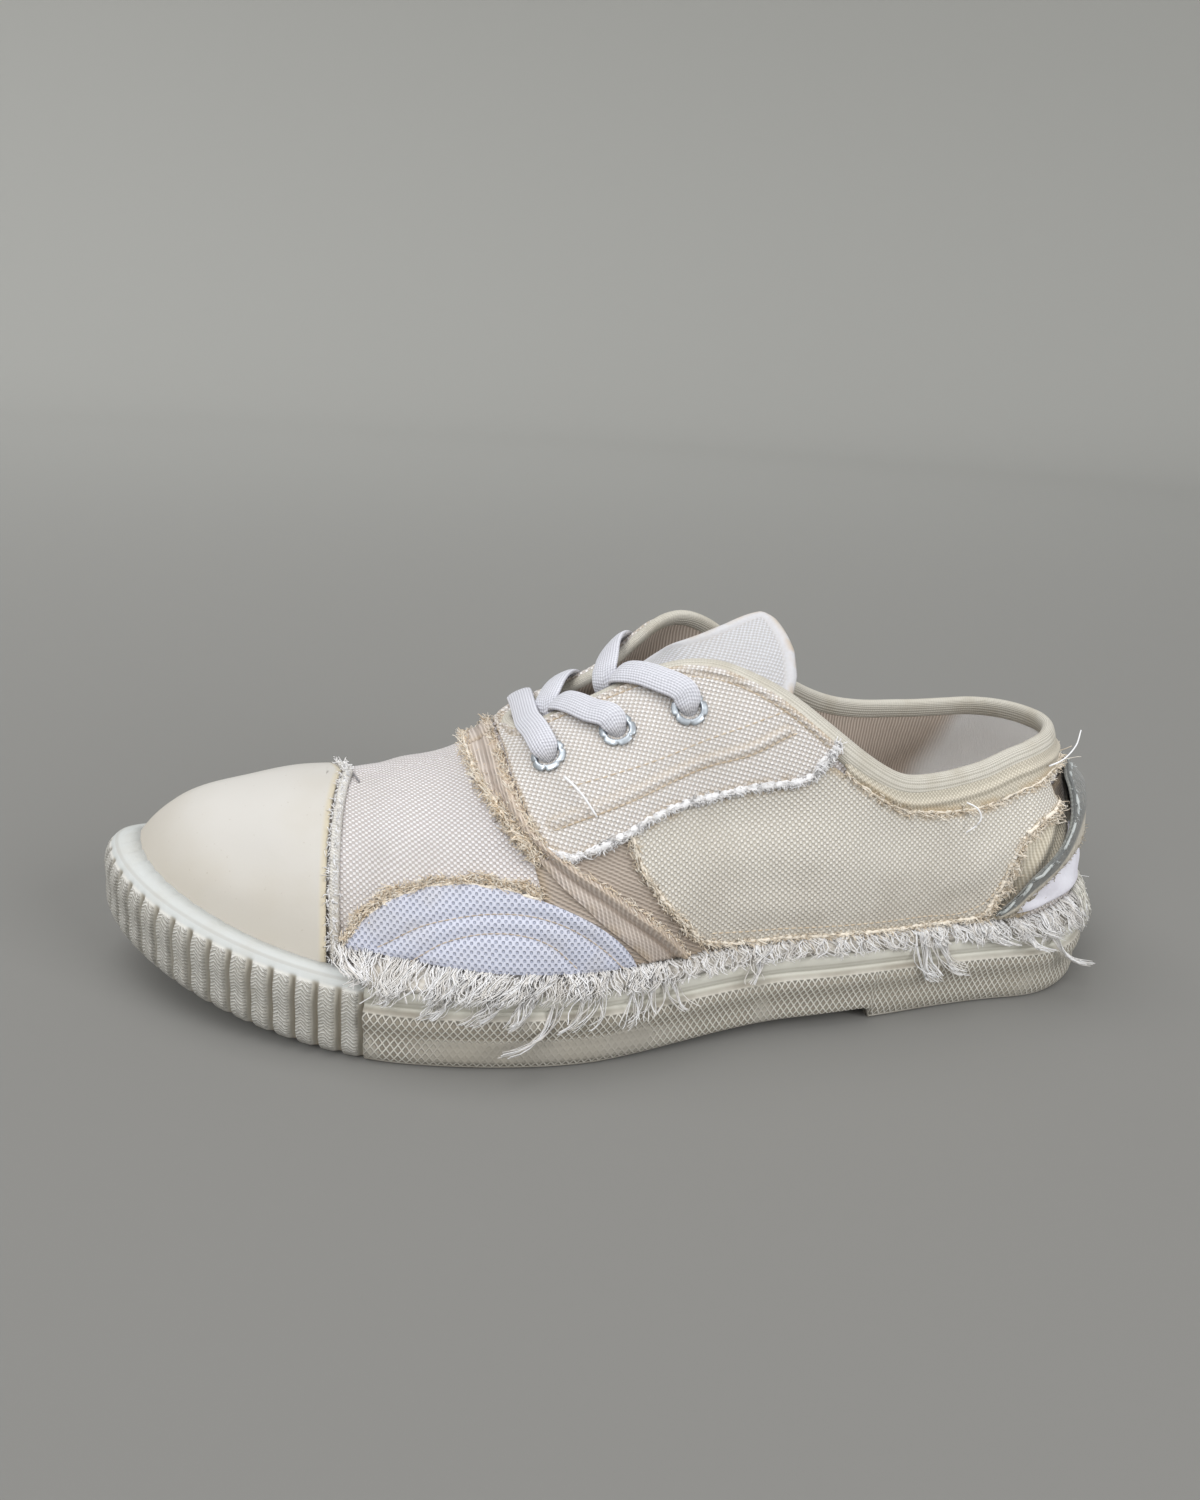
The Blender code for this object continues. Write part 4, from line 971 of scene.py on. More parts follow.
def lining_finish():
    """Fine upright ribs on old twill, their hollows in painted shade; where the field white is 1, the heel's smooth
    white cloth, pushed to pure white as painted light on the heel's inside.
    """
    paint = Paint("lining_twill")
    u, v = paint.across()
    ribs = (u + v * 0.08 + paint.noise(0.2, 2.0) * 0.5).wave(1.05)
    # painted shade in the hollows between the ribs
    colour = paint.mix(ribs, (0.44, 0.35, 0.29), (0.70, 0.61, 0.53))
    colour = soiled(paint, colour, (0.48, 0.42, 0.36), GOLD, 0.45, 0.2)
    # painted light: the heel's white cloth is made pure white to stand in for the light inside the heel
    white = paint.field("white") * (0.85 + paint.noise(0.08, 3.0) * 0.3)
    colour = paint.mix(white.least(1.0), colour, (1.0, 1.0, 1.0))
    return paint.finish(colour, 0.95, ribs * (1 - white * 0.7), 0.15, {"Sheen Weight": 0.2})


def thread_finish(name, pale, deep):
    """Loose yarn: each thread has its own place between two colours."""
    paint = Paint(name)
    share = paint.field("tint")
    colour = paint.mix(share.step(0.0, 1.0), pale, deep)
    return paint.finish(colour, 0.95, paint.noise(1.8, 2.0), 0.05, {"Sheen Weight": 0.2})


VAMP = canvas_finish("vamp_canvas", (1.0, 0.98, 1.0), (0.54, 0.48, 0.46), 0.6)
QUARTER = canvas_finish("quarter_canvas", (0.98, 0.95, 0.89), (0.57, 0.52, 0.44), 0.75)
EYESTAY = canvas_finish("eyestay_canvas", (1.0, 0.98, 0.97), (0.56, 0.50, 0.45), 0.6)
TONGUE_CLOTH = canvas_finish("tongue_canvas", (0.74, 0.755, 0.80), (0.52, 0.50, 0.50), 0.5,
                             (0.70, 0.78), 0.25, "border")
TWILL = twill_finish("beige_twill", (0.88, 0.79, 0.72), (0.46, 0.38, 0.33), (0.34, 0.27, 0.22), GOLD, 5.2, 4.0, 0.4)
UNDERLAY = twill_finish("underlay_twill", (0.60, 0.52, 0.45), (0.34, 0.28, 0.23), (0.28, 0.22, 0.17), GOLD, 1.2, 0.5,
                        0.35)
LINING = lining_finish()
BAND = canvas_finish("band_canvas", (0.76, 0.71, 0.60), (0.50, 0.45, 0.36), 0.7, (0.6, 0.6), 0.2)
TAPE = tape_finish("rib_tape", (0.74, 0.71, 0.64), (0.48, 0.455, 0.39), 0.62, 0.14)
PATCH = dimple_finish("pressed_cloth", (0.64, 0.66, 0.77), (0.42, 0.45, 0.57), (0.56, 0.53, 0.50))
FELT_OUT = felt_finish()
# the inner felt's dark grey is partly its own grey and partly painted shade of the flap's shadowed inside
FELT_IN = twill_finish("grey_felt", (0.24, 0.255, 0.25), (0.15, 0.16, 0.155), (0.26, 0.25, 0.23), (0.4, 0.4, 0.36),
                       1.1, 0.3, 0.15)
WHITE_YARN = thread_finish("white_yarn", (0.93, 0.93, 0.95), (0.80, 0.78, 0.76))
GOLD_YARN = thread_finish("gold_yarn", (0.99, 0.93, 0.83), (0.80, 0.66, 0.49))
TAN_YARN = thread_finish("tan_yarn", (0.96, 0.90, 0.80), (0.70, 0.59, 0.45))
GREY_YARN = thread_finish("grey_yarn", (0.92, 0.91, 0.86), (0.70, 0.68, 0.61))
STITCH_YARN = thread_finish("stitch_yarn", (0.72, 0.61, 0.47), (0.60, 0.48, 0.34))
FELT_YARN = thread_finish("felt_yarn", (0.62, 0.56, 0.46), (0.38, 0.34, 0.27))
DARK_YARN = thread_finish("dark_yarn", (0.24, 0.23, 0.24), (0.20, 0.19, 0.19))
PALE_FELT_YARN = thread_finish("pale_felt_yarn", (0.56, 0.59, 0.58), (0.30, 0.33, 0.34))
PALE_STITCH = thread_finish("pale_stitch_yarn", (0.60, 0.50, 0.40), (0.48, 0.39, 0.30))
print("cloth finishes ready")

# %% [markdown]
# Old rubber is never one white. The cap has yellowed and is rubbed matt, and low down it is painted
# darker and yellower, partly its yellowing and partly painted shade; the band round the side is
# moulded with a net of ridges whose pits hold dirt, and above it runs a smooth bead.

# %% rubber, lace and metal finishes
def cap_finish():
    paint = Paint("cap_rubber")
    z = paint.axis(2)
    cloud = paint.noise(0.03, 3.0)
    # low down the cap turns darker and yellower: partly yellowing, partly painted shade on its lower side
    low = 1 - z.step(26.0, 52.0)
    colour = paint.mix(low * 0.55 + cloud.step(0.45, 0.75) * 0.35, (0.615, 0.595, 0.56), (0.53, 0.485, 0.405))
    rear = 1 - paint.field("edge").step(0.5, 2.2)
    colour = paint.mix(rear * 0.6, colour, (0.66, 0.57, 0.38))
    scuff = paint.noise(0.11, 6.0, rough=0.7).step(0.56, 0.72) * paint.noise(0.02, 1.0).step(0.45, 0.6)
    colour = paint.mix(scuff * 0.30, colour, (0.60, 0.56, 0.48))
    speck = paint.noise(0.9, 1.0).step(0.74, 0.78)
    colour = paint.mix(speck * 0.35, colour, (0.40, 0.35, 0.28))
    rough = 0.62 + scuff * 0.15 + paint.noise(0.2, 4.0) * 0.08
    return paint.finish(colour, rough, paint.noise(0.35, 5.0), 0.05, {"Coat Weight": 0.06, "Coat Roughness": 0.35})


NET_WIDTH, NET_HEIGHT = 2.02, 2.9


def net_height(paint):
    """Net of crossing ridges: low where both slanted sines are far from a ridge line."""
    u, v = paint.across()
    one = ((u * (1 / NET_WIDTH) + v * (1 / NET_HEIGHT)) * PI).sine().size()
    two = ((u * (1 / NET_WIDTH) - v * (1 / NET_HEIGHT)) * PI).sine().size()
    pit = one.least(two).step(0.22, 0.62)
    rub = paint.field("crest") * v.step(1.5, 3.2) * (1 - v.step(8.6, 10.2))
    worn = (rub + paint.noise(0.05, 2.0).step(0.56, 0.70) * 0.6).least(1.0)
    band = v.step(1.0, 1.6) * (1 - v.step(15.4, 16.0))
    return pit * band * (1 - worn * 0.88), v, worn


def foxing_finish():
    paint = Paint("side_rubber")
    pit, v, worn = net_height(paint)
    grime = paint.noise(0.08, 5.0).step(0.35, 0.75)
    bead = v.step(16.0, 16.8)
    base = paint.mix(bead, (0.77, 0.74, 0.67), (0.67, 0.66, 0.59))
    base = paint.mix(worn * 0.75 * (1 - bead), base, (0.29, 0.265, 0.225))
    colour = paint.mix(pit * 0.9, base, (0.25, 0.22, 0.17))
    colour = paint.mix(grime * 0.28, colour, (0.44, 0.40, 0.32))
    # painted shade: dark lines in the grooves beside the bead and a dark foot by the floor, made patchy by the grime
    # noise
    line = v.step(15.6, 16.3) * (1 - v.step(16.6, 17.2)) + v.step(18.8, 19.2) * (1 - v.step(19.4, 19.8)) * 0.5
    line = line + (1 - v.step(0.4, 1.6))
    colour = paint.mix((line * (0.35 + grime * 0.35)).least(1.0), colour, (0.22, 0.18, 0.13))
    height = (1 - pit) * 0.92 + paint.noise(1.2, 3.0) * 0.08
    return paint.finish(colour, 0.68 - bead * 0.12, height, 0.75)


def bumper_finish():
    """Knurled ribs: rows of short slanted strokes on each face, smooth where the rib falls away."""
    paint = Paint("bumper_rubber")
    _, v = paint.across()
    crest = paint.field("crest")
    on_rib = crest.step(0.45, 0.9) * (1 - v.step(18.9, 19.8)) * v.step(1.2, 2.2)
    wobble = (paint.noise(0.5, 2.0) - 0.5) * 1.1
    slope = (paint.field("turn") - 0.38).size() * 4.6
    knurl = ((v + slope + wobble) * (2 * PI / 0.98)).sine() + (paint.noise(1.5, 2.0) - 0.5) * 3.0
    knurl = knurl.step(-0.5, 0.6)
    # painted shade: the grooves between the ribs are darker, darkest at their bottoms
    base = paint.mix(crest.step(0.1, 0.95), (0.42, 0.39, 0.33), (0.71, 0.70, 0.66))
    base = paint.mix((1 - crest.step(0.0, 0.22)) * (1 - v.step(18.9, 20.0)) * 0.7, base, (0.24, 0.21, 0.16))
    rim = v.step(19.6, 20.6)
    base = paint.mix(rim, base, (0.60, 0.62, 0.61))
    # painted shade in the knurl's sunken strokes
    colour = paint.mix(on_rib * (1 - knurl) * 0.6, base, (0.32, 0.29, 0.24))
    grime = paint.noise(0.12, 5.0).step(0.42, 0.78)
    colour = paint.mix(grime * 0.22, colour, (0.48, 0.44, 0.36))
    # painted shade: a dark foot by the floor and a dark line where the bumper tucks under the cap
    low = (1 - v.step(0.6, 2.0)) * 0.45 + v.step(21.4, 21.7) * (1 - v.step(21.9, 22.2)) * 0.25
    colour = paint.mix(low, colour, (0.25, 0.21, 0.16))
    height = knurl * on_rib * 0.85 + paint.noise(0.9, 4.0) * 0.15
    return paint.finish(colour, 0.66, height, 0.8)


def plain_finish(name, light, dark, rough, grain=0.4, depth=0.1):
    paint = Paint(name)
    colour = paint.mix(paint.noise(0.12, 5.0).step(0.3, 0.8), light, dark)
    return paint.finish(colour, rough, paint.noise(grain, 4.0), depth)


def lace_finish():
    """Flat braid: fine strands along it crossed by slanting ones, v from -1 to 1 across the lace."""
    paint = Paint("lace_braid")
    u, v = paint.across()
    slant = (u + v.size() * 1.2).wave(0.85)
    strand = (v * (5.0 * PI)).sine().size()
    fuzz = paint.noise(1.4, 4.0)
    raised = slant * 0.3 + strand * 0.45 + fuzz * 0.25
    # strands light, hollows between them in painted shade
    colour = paint.mix(raised, (0.50, 0.50, 0.56), (0.88, 0.89, 0.96))
    # darker where the lace goes into the eyelets
    grime = paint.field("soil_and_shade") * (0.5 + paint.noise(0.3, 3.0) * 0.7)
    colour = paint.mix(grime.least(1.0), colour, (0.30, 0.27, 0.24))
    return paint.finish(colour, 0.95, raised, 0.4, {"Sheen Weight": 0.3})


def metal_finish():
    paint = Paint("eyelet_zinc")
    dull = paint.noise(0.5, 4.0).step(0.35, 0.7)
    colour = paint.mix(dull, (0.62, 0.67, 0.72), (0.46, 0.50, 0.54))
    return paint.finish(colour, 0.42 + dull * 0.2, paint.noise(0.8, 3.0), 0.03, {"Metallic": 1.0})


CAP_RUBBER, SIDE_RUBBER, BUMPER_RUBBER = cap_finish(), foxing_finish(), bumper_finish()
TREAD_RUBBER = plain_finish("tread_rubber", (0.52, 0.49, 0.42), (0.34, 0.30, 0.24), 0.8)
FOOTBED = plain_finish("matted_footbed", (0.42, 0.37, 0.30), (0.28, 0.23, 0.18), 0.95, 0.9, 0.3)
LACE_BRAID, ZINC = lace_finish(), metal_finish()
print("rubber, lace and metal ready")

# %% [markdown]
# The sole unit. Its side is one profile of heights and outward steps, carried round the outline.
# The toe bumper uses the same idea with ribs: the profile swings between a crest and a groove as
# the way along the edge grows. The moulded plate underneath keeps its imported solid.

# %% sole unit
# height over the underside, outward step of the face
FOXING_PROFILE = np.array([(0.5, -0.9), (1.8, 0.0), (9.0, 0.35), (16.6, 0.0), (17.3, -0.9), (18.4, -0.45),
                           (21.2, -0.55), (22.8, -1.7)])
BUMPER_END, JOINT, RIBS_OUTER = 70.0, 0.4, 16
# height, outward step of a crest, outward step of a groove
BUMPER_PROFILE = np.array([
    (0.5, -1.2, -2.1), (2.0, 0.0, -2.0), (9.5, 0.35, -1.9), (16.6, 0.1, -1.9), (18.8, -0.75, -1.9),
    (20.0, -1.6, -1.9), (21.0, -2.3, -2.35), (22.0, -3.5, -3.5), (22.4, -4.7, -4.7),
])
# shares of a rib's pitch over which it rises and falls; heights of the inner face as shares of the top
RIB_RISE, RIB_FALL = (0.0, 0.17), (0.62, 0.97)
INNER_HEIGHTS = (0.96, 0.6)
PROFILE_ROWS = 30


def plan_point(side, s, out, height):
    """Points off the sole's edge: out millimetres outward, height over the underside."""
    plan = outline(side, s) - inward(side, s) * np.broadcast_to(out, s.shape)[..., None]
    return np.concatenate([plan, (bed(plan[..., 0]) + height)[..., None]], -1)


def rubber_rings(side, s, heights, out):
    """Rings of a rubber strip: outer face from the profile, inner face along the last."""
    outer = np.stack([plan_point(side, s, out[:, k], h) for k, h in enumerate(heights)], 1)
    sink = np.clip((4.0 - heights) / 3.5, 0, 1)
    outer[..., 2] += (bottom(outer[..., 0]) - bed(outer[..., 0])) * sink
    inner = []
    for share in INNER_HEIGHTS:
        angle = angle_at_height(side, s, bed(outer[:, 0, 0]) + heights[-1] * share)
        inner.append(skin(side, s, angle, cap_room(s) + GAP, creased=False))
    wall = -rubber_wall(s)
    inner += [plan_point(side, s, wall, PLATE_THICKNESS), plan_point(side, s, wall, FOXING_LIFT)]
    inner[-1][:, 2] += bottom(inner[-1][:, 0]) - bed(inner[-1][:, 0])
    return np.concatenate([outer, np.stack(inner, 1)], 1)


def rubber_strip(name, rings, heights, fields, paint, nodes):
    """Closed tube through equal rings with flat ends; u is the way along, v the height."""
    count, size = rings.shape[:2]
    c, r = np.meshgrid(np.arange(count - 1), np.arange(size), indexing="ij")
    a, b = (c * size + r).ravel(), (c * size + (r + 1) % size).ravel()
    faces = np.stack([a, b, b + size, a + size], 1).tolist()
    faces += [list(range(size))[::-1], list(range((count - 1) * size, count * size))]
    way = way_along(rings[:, 4])
    v = np.concatenate([heights, np.full(size - len(heights), heights[-1])])
    face_out(add_piece(name, rings.reshape(-1, 3), faces, paint, nodes, grid_uv(way, v),
                       {key: np.repeat(value, size) for key, value in fields.items()}, weld=False))


def profile_rows(table):
    """Heights and steps of a profile, rounded between the rows of its table."""
    heights = np.interp(np.linspace(0, 1, PROFILE_ROWS), np.linspace(0, 1, len(table)), table[:, 0])
    return heights, [read(table, k, heights) for k in range(1, table.shape[1])]


def make_foxing():
    heights, (steps,) = profile_rows(FOXING_PROFILE)
    rings = []
    for side, _ in SIDES:
        s = round_heel(np.linspace(BUMPER_END + JOINT, HEEL_X, 130), 50)
        wave = 0.12 * np.sin(s / 11.0)[:, None] * np.sin(heights / 5.0)[None]
        rings.append(rubber_rings(side, s, heights, steps[None] + wave))
    rings[1][-1] = rings[0][-1]
    path = np.concatenate([rings[0], rings[1][-2::-1]])
    x = path[:, 0, 0]
    worn = ease(x, 80, 0, 92, 1) * ease(x, 128, 1, 160, 0)
    rubber_strip("side_band", path, heights, {"crest": worn}, SIDE_RUBBER, ["foxing"])


def make_bumper():
    """Across its pitch a rib rises at once, stays level and then falls away slowly towards the heel."""
    heights, (crest_step, groove_step) = profile_rows(BUMPER_PROFILE)
    rings, crests, turns, pitch = [], [], [], None
    for side, _ in SIDES:
        s = np.linspace(0, BUMPER_END ** 0.5, 1500) ** 2
        way = way_along(outline(side, s))
        ribs = RIBS_OUTER if side == OUTER else round(way[-1] / pitch)
        pitch = way[-1] / ribs
        at = np.linspace(0, way[-1], ribs * 14 + 1)
        share = (at / pitch) % 1
        crest = ease(share, RIB_RISE[0], 0, RIB_RISE[1], 1) * ease(share, RIB_FALL[0], 1, RIB_FALL[1], 0)
        out = groove_step + (crest_step - groove_step) * crest[:, None]
        rings.append(rubber_rings(side, np.interp(at, way, s), heights, out))
        crests.append(crest)
        turns.append(share)
    path = np.concatenate([rings[0][::-1], rings[1][1:]])
    fields = {"crest": np.concatenate([crests[0][::-1], crests[1][1:]]),
              "turn": np.concatenate([turns[0][::-1], turns[1][1:]])}
    rubber_strip("toe_bumper_ribs", path, heights, fields, BUMPER_RUBBER, ["toe_bumper"])


make_foxing()
make_bumper()
for node, paint in (("outsole", TREAD_RUBBER), ("insole", FOOTBED)):
    frame["nodes"][node].data.materials.clear()
    frame["nodes"][node].data.materials.append(paint)
print("sole unit ready")

# %% [markdown]
# The toe cap is a moulded rubber shell. It is a grid that runs from its lower edge up to the crown
# on both sides, with a lip at the back that rolls over a little.

# %% toe cap and the strip behind it
CAP_THICKNESS, CAP_FOOT = 1.55, 1.2
CAP_EDGE, CAP_EDGE_THICKNESS = (61.9, 64.7), 1.1


def cap_bow(share):
    """The cap's rear edge bows: it lies further back at the crown and at the foot than between."""
    return 4.3 * share ** 4 + 1.6 * (1 - share) ** 6


def cap_angles(side, s, share):
    """Angles from the cap's foot, where share is 0, to the crown, where it is 1."""
    low = angle_at_height(side, s, rib(side, s)[3] + CAP_FOOT)
    return low + (PI / 2 - low) * share


def make_toe_cap():
    parts = []
    for side, _ in SIDES:
        x = np.concatenate([[0], 4.4 + (TOE_X - 4.4) * spaced(52, 0.6)])[:, None]
        share = np.linspace(0, 1, 52)[None]
        x = x + cap_bow(share) * (x / TOE_X) ** 5
        s = np.where(x > 0, station(side, x), 0.0)
        flare = (1.5 + ease(x, 4, 1.3, 34, 0)) * bell(share, 0, 0.24)
        a = cap_angles(side, s, share)
        bare = last_point(side, s, a)
        flat = 1.2 * bell(bare[..., 0], 38, 12) * ease(bare[..., 2], 34, 0, 46, 1)
        parts.append((side, s, a, GAP + CAP_THICKNESS + flare - flat))
    sheet("toe_cap_shell", parts, CAP_RUBBER, CAP_THICKNESS - 0.1, ["toe_cap"],
                 (False, True, False, False), 0.7, creased=False)


def make_cap_strip():
    """A folded, frayed edge: a thin roll whose thickness wanders along its way."""
    parts, paths = [], []
    share = np.linspace(0, 1, 120)[None]
    for side, _ in SIDES:
        x = np.linspace(*CAP_EDGE, 9)[:, None] + cap_bow(share)
        s = station(side, x)
        a = cap_angles(side, s, share)
        roll = np.sin(PI * np.linspace(0, 1, 9))[:, None] ** 0.6
        lumps = 0.25 * np.sin(a * 37 + side) * np.sin(a * 23 + 1)
        parts.append((side, s, a, GAP + 0.25 + CAP_EDGE_THICKNESS * roll + lumps * roll))
        for column, lift in ((1, 1.3), (4, 1.6), (7, 1.1)):
            paths.append(frames_on(side, s[column, 2:], a[column, 2:], lift))
    sheet("cap_edge_roll", parts, WHITE_CLOTH, 0.9, ["cap_edge_strip"], rim=0.1)
    bundles = [threads(50 + k, path, 160, (0.6, 2.0), (-1) ** k, 1.0, 0.5, 0.5, 0.1, 0.22)
               for k, path in enumerate(paths)]
    add_threads("cap_edge_fray", bundles, WHITE_YARN)


WHITE_CLOTH = twill_finish("frayed_white_cloth", (0.84, 0.83, 0.80), (0.62, 0.59, 0.54), (0.48, 0.43, 0.36), GOLD,
                           0.9, 0.3, 0.2, yellow=0.0)
make_toe_cap()
make_cap_strip()
print("toe cap ready")

# %% [markdown]
# The upper is a shell of two cloths, sewn back to back: coarse canvas outside and twill lining
# inside. Both follow the last; the lining faces the foot.

# %% upper, lining, tongue
def body_grid(side, rows, drop):
    """Stations and angles from the lower edge to the opening; only the top feels the throat's nose."""
    x = np.concatenate([[0.0], np.linspace(9.0, 108, 48), np.linspace(109.6, 118, 13), np.linspace(119, HEEL_X, 70)])
    s = round_heel(np.concatenate([[0.0], station(side, x[1:])]), 28)
    end = opening_angle(side, s, drop)
    share = spaced(rows, 0.3)
    vamp = 1 - ease(s, 72.0, 0.0, 126.0, 1.0)
    settled = np.interp(s, s[s > 124], end[s > 124])
    nominal = settled + (PI / 2 - settled) * vamp
    return np.broadcast_arrays(s[:, None], nominal[:, None] * share + (end - nominal)[:, None] * share ** 8)


def make_upper():
    def marks(side, s, a, grid):
        away = edge_distance(grid, TOP_ONLY)
        # white marks the heel's white cloth, which the lining paints pure white as painted light
        return {"edge": np.where(s > THROAT_X - 4, away, 99.0), "white": ease(s + 0.25 * (away - 10), 258, 0, 270, 1)}
    canvas, lining = [], []
    for side, _ in SIDES:
        s, a = body_grid(side, 43, 3.0)
        canvas.append((side, s, a, 0.0))
        lining.append((side, s, a, -UPPER_WALL))
    sheet("upper_canvas", canvas, VAMP, 1.0, ["upper"], TOP_ONLY, 0.0, fields=marks)
    sheet("lining", lining, LINING, 0.85, (), TOP_ONLY, 0.0, inside=True, fields=marks)


# x, distance of its inner and outer edge from the crown line (positive is the outer side), depth at the crown
TONGUE = np.array([
    (95, -11, 11, 3.2), (115, -15, 16, 4.4), (130, -15, 20, 6.2), (142, -11, 23, 7.6), (150, -3, 25, 6.9),
    (157, 6, 27, 5.2), (163, 9, 28.5, 4.2), (170, 8.5, 29.5, 3.6), (178, 4.5, 30, 3.2), (190, -2.5, 29, 3.2),
])
# distance from the crown line and x of the tip
TONGUE_TIP = np.array([(-3, 184.0), (0, 186.3), (4, 187.8), (10, 188.6), (18, 189.8), (24, 189.2), (28, 187.0),
                       (30, 183.0)])
TONGUE_EDGE_DEPTH, TONGUE_THICKNESS, TONGUE_BORDER = 3.2, 2.2, 3.4


def crown_point(x, gap, lift):
    """Skin points by signed distance from the crown line; both sides of the last meet at zero."""
    halves = []
    for side, _ in SIDES:
        s = station(side, x)
        halves.append(skin(side, s, angle_at_gap(side, s, np.abs(gap)), lift, creased=False))
    return np.where((gap >= 0)[..., None], *halves)


def make_tongue():
    """It has slipped to the outer side; a soft border stands up round it, with a sewn line inside."""
    along, across = spaced(84, 0.6)[:, None], spaced(60, 0.6)[None]
    tip = np.interp(TONGUE[-1, 1] + (TONGUE[-1, 2] - TONGUE[-1, 1]) * across, TONGUE_TIP[:, 0], TONGUE_TIP[:, 1])
    x = TONGUE[0, 0] + (tip - TONGUE[0, 0]) * along
    inner, outer, deep = (read(TONGUE, k, x) for k in (1, 2, 3))
    gap = inner + (outer - inner) * across
    sunk = (deep - TONGUE_EDGE_DEPTH) * np.sqrt(np.clip(1 - np.abs(gap) / 26, 0, 1))
    flat = crown_point(x, gap, -TONGUE_EDGE_DEPTH - sunk)
    away = edge_distance(flat, (False, True, True, True))
    puff = 0.32 * (1 - np.clip(np.abs(away - TONGUE_BORDER / 2) / (TONGUE_BORDER / 2), 0, 1) ** 3)
    groove = 0.45 * bell(away - TONGUE_BORDER, 0.3, 0.45)
    grid = crown_point(x, gap, -TONGUE_EDGE_DEPTH - sunk + puff - groove - 0.5 * bell(away, 0, 0.9))
    u, v = arc_lengths(flat)
    marks = {"edge": away, "border": ease(away, TONGUE_BORDER, 1, TONGUE_BORDER + 0.5, 0),
             # darker along the sewn groove inside the border and towards the tongue's front
             "soil_and_shade": 0.45 * bell(away - TONGUE_BORDER, 0.4, 0.4) + ease(x, 120, 0.5, 158, 0)}
    add_piece("tongue_flap", grid.reshape(-1, 3), quads(*grid.shape[:2], True), TONGUE_CLOTH, ["tongue"],
              np.stack([v, u], -1).reshape(-1, 2), marks, TONGUE_THICKNESS - 0.1)
    print("tongue", [round(float(c), 1) for c in np.ptp(grid.reshape(-1, 3), axis=0)], "mm")


make_upper()
make_tongue()
print("upper ready")

# %% [markdown]
# The panels are ruled grids: a line along the lower edge, a line along the upper edge, and straight
# ribs between them in stations and angles. That keeps each cut edge exact and the weave running
# with the panel. They stack in sewing order: underlay, patch and quarter, seam strip, eyestay.

# %% side panels
# side-view points, x and height
EYESTAY_FRONT = [(109.9, 71.9), (110.4, 70.0), (112.8, 63.0), (117.4, 54.5)]
EYESTAY_FOOT = [(117.4, 54.5), (122.5, 53.6), (131.0, 56.4), (147.0, 63.8), (170.0, 69.0), (192.0, 73.6),
                (197.5, 77.0)]
QUARTER_FRONT = [(139.5, 58.6), (141.0, 53.0), (146.5, 44.5), (158.5, 31.0)]
QUARTER_REAR = [(249.0, 28.6), (254.0, 37.7), (257.0, 45.0), (264.0, 53.6), (276.0, 59.0)]
SEAM_FRONT = [(101.0, 68.0), (101.8, 65.0), (107.0, 60.5), (115.5, 52.0), (128.4, 40.8), (144.0, 27.0)]
SEAM_REAR = [(109.0, 72.4), (109.6, 70.0), (112.5, 62.6), (117.5, 55.6), (124.0, 51.6), (132.0, 47.3), (140.0, 41.8),
             (147.5, 35.8), (154.0, 29.5), (156.0, 27.0)]
PATCH_CENTRE, PATCH_RADII = (103.2, 20.0), (38.5, 25.0)
PATCH_FOOT = 26.6
EYESTAY_THICKNESS, QUARTER_THICKNESS, PATCH_THICKNESS, SEAM_THICKNESS = 1.4, 0.8, 0.7, 1.2
BAND_DROPS = np.array([(205, 8.5), (227, 9.8), (247, 11.8), (262, 12.0), (280, 10.5), (316, 10.5)])
BAND_THICKNESS = 0.9
WELT = [(119.5, 60.2), (131.2, 65.0), (144.6, 70.1), (158.4, 75.2), (172.4, 78.8), (186.8, 84.7)]


def on_side(side, line, step=0.7):
    """Stations and angles along a smooth side-view line."""
    fine = curve_through(line, step)
    way = way_along(np.asarray(line, float))
    return follow(np.linspace(0, way[-1], len(fine)), way, np.column_stack(spots(side, line)))


def even(line, count, stops=None, at=None):
    """Stations and angles of a line at equal shares, or with stops placed at given shares."""
    return resample(line * (1, 40), count, stops, at) / (1, 40)


def line_distance(grid, line):
    """Least distance from each grid point to a line of points in space."""
    flat = grid.reshape(-1, 3)
    best = np.full(len(flat), 1e9)
    for a, b in zip(line[:-1], line[1:]):
        run = b - a
        t = np.clip(((flat - a) @ run) / max(run @ run, 1e-9), 0, 1)
        best = np.minimum(best, np.linalg.norm(flat - a - t[:, None] * run, axis=1))
    return best.reshape(grid.shape[:-1])


def eyestay_lines(side):
    """Lower line over the front and the foot; the upper line keeps beside the opening."""
    front, foot = on_side(side, EYESTAY_FRONT), on_side(side, EYESTAY_FOOT)
    low = np.concatenate([front, foot[1:]])
    share = len(front) / len(low)
    x = np.interp(np.linspace(0, 1, 140), [0, share, 1], [109.9, 119.5, 199.5])
    s = station(side, x)
    high = beside_opening(side, s, 3.2)
    high[0] = low[0]
    return even(low, 140), high


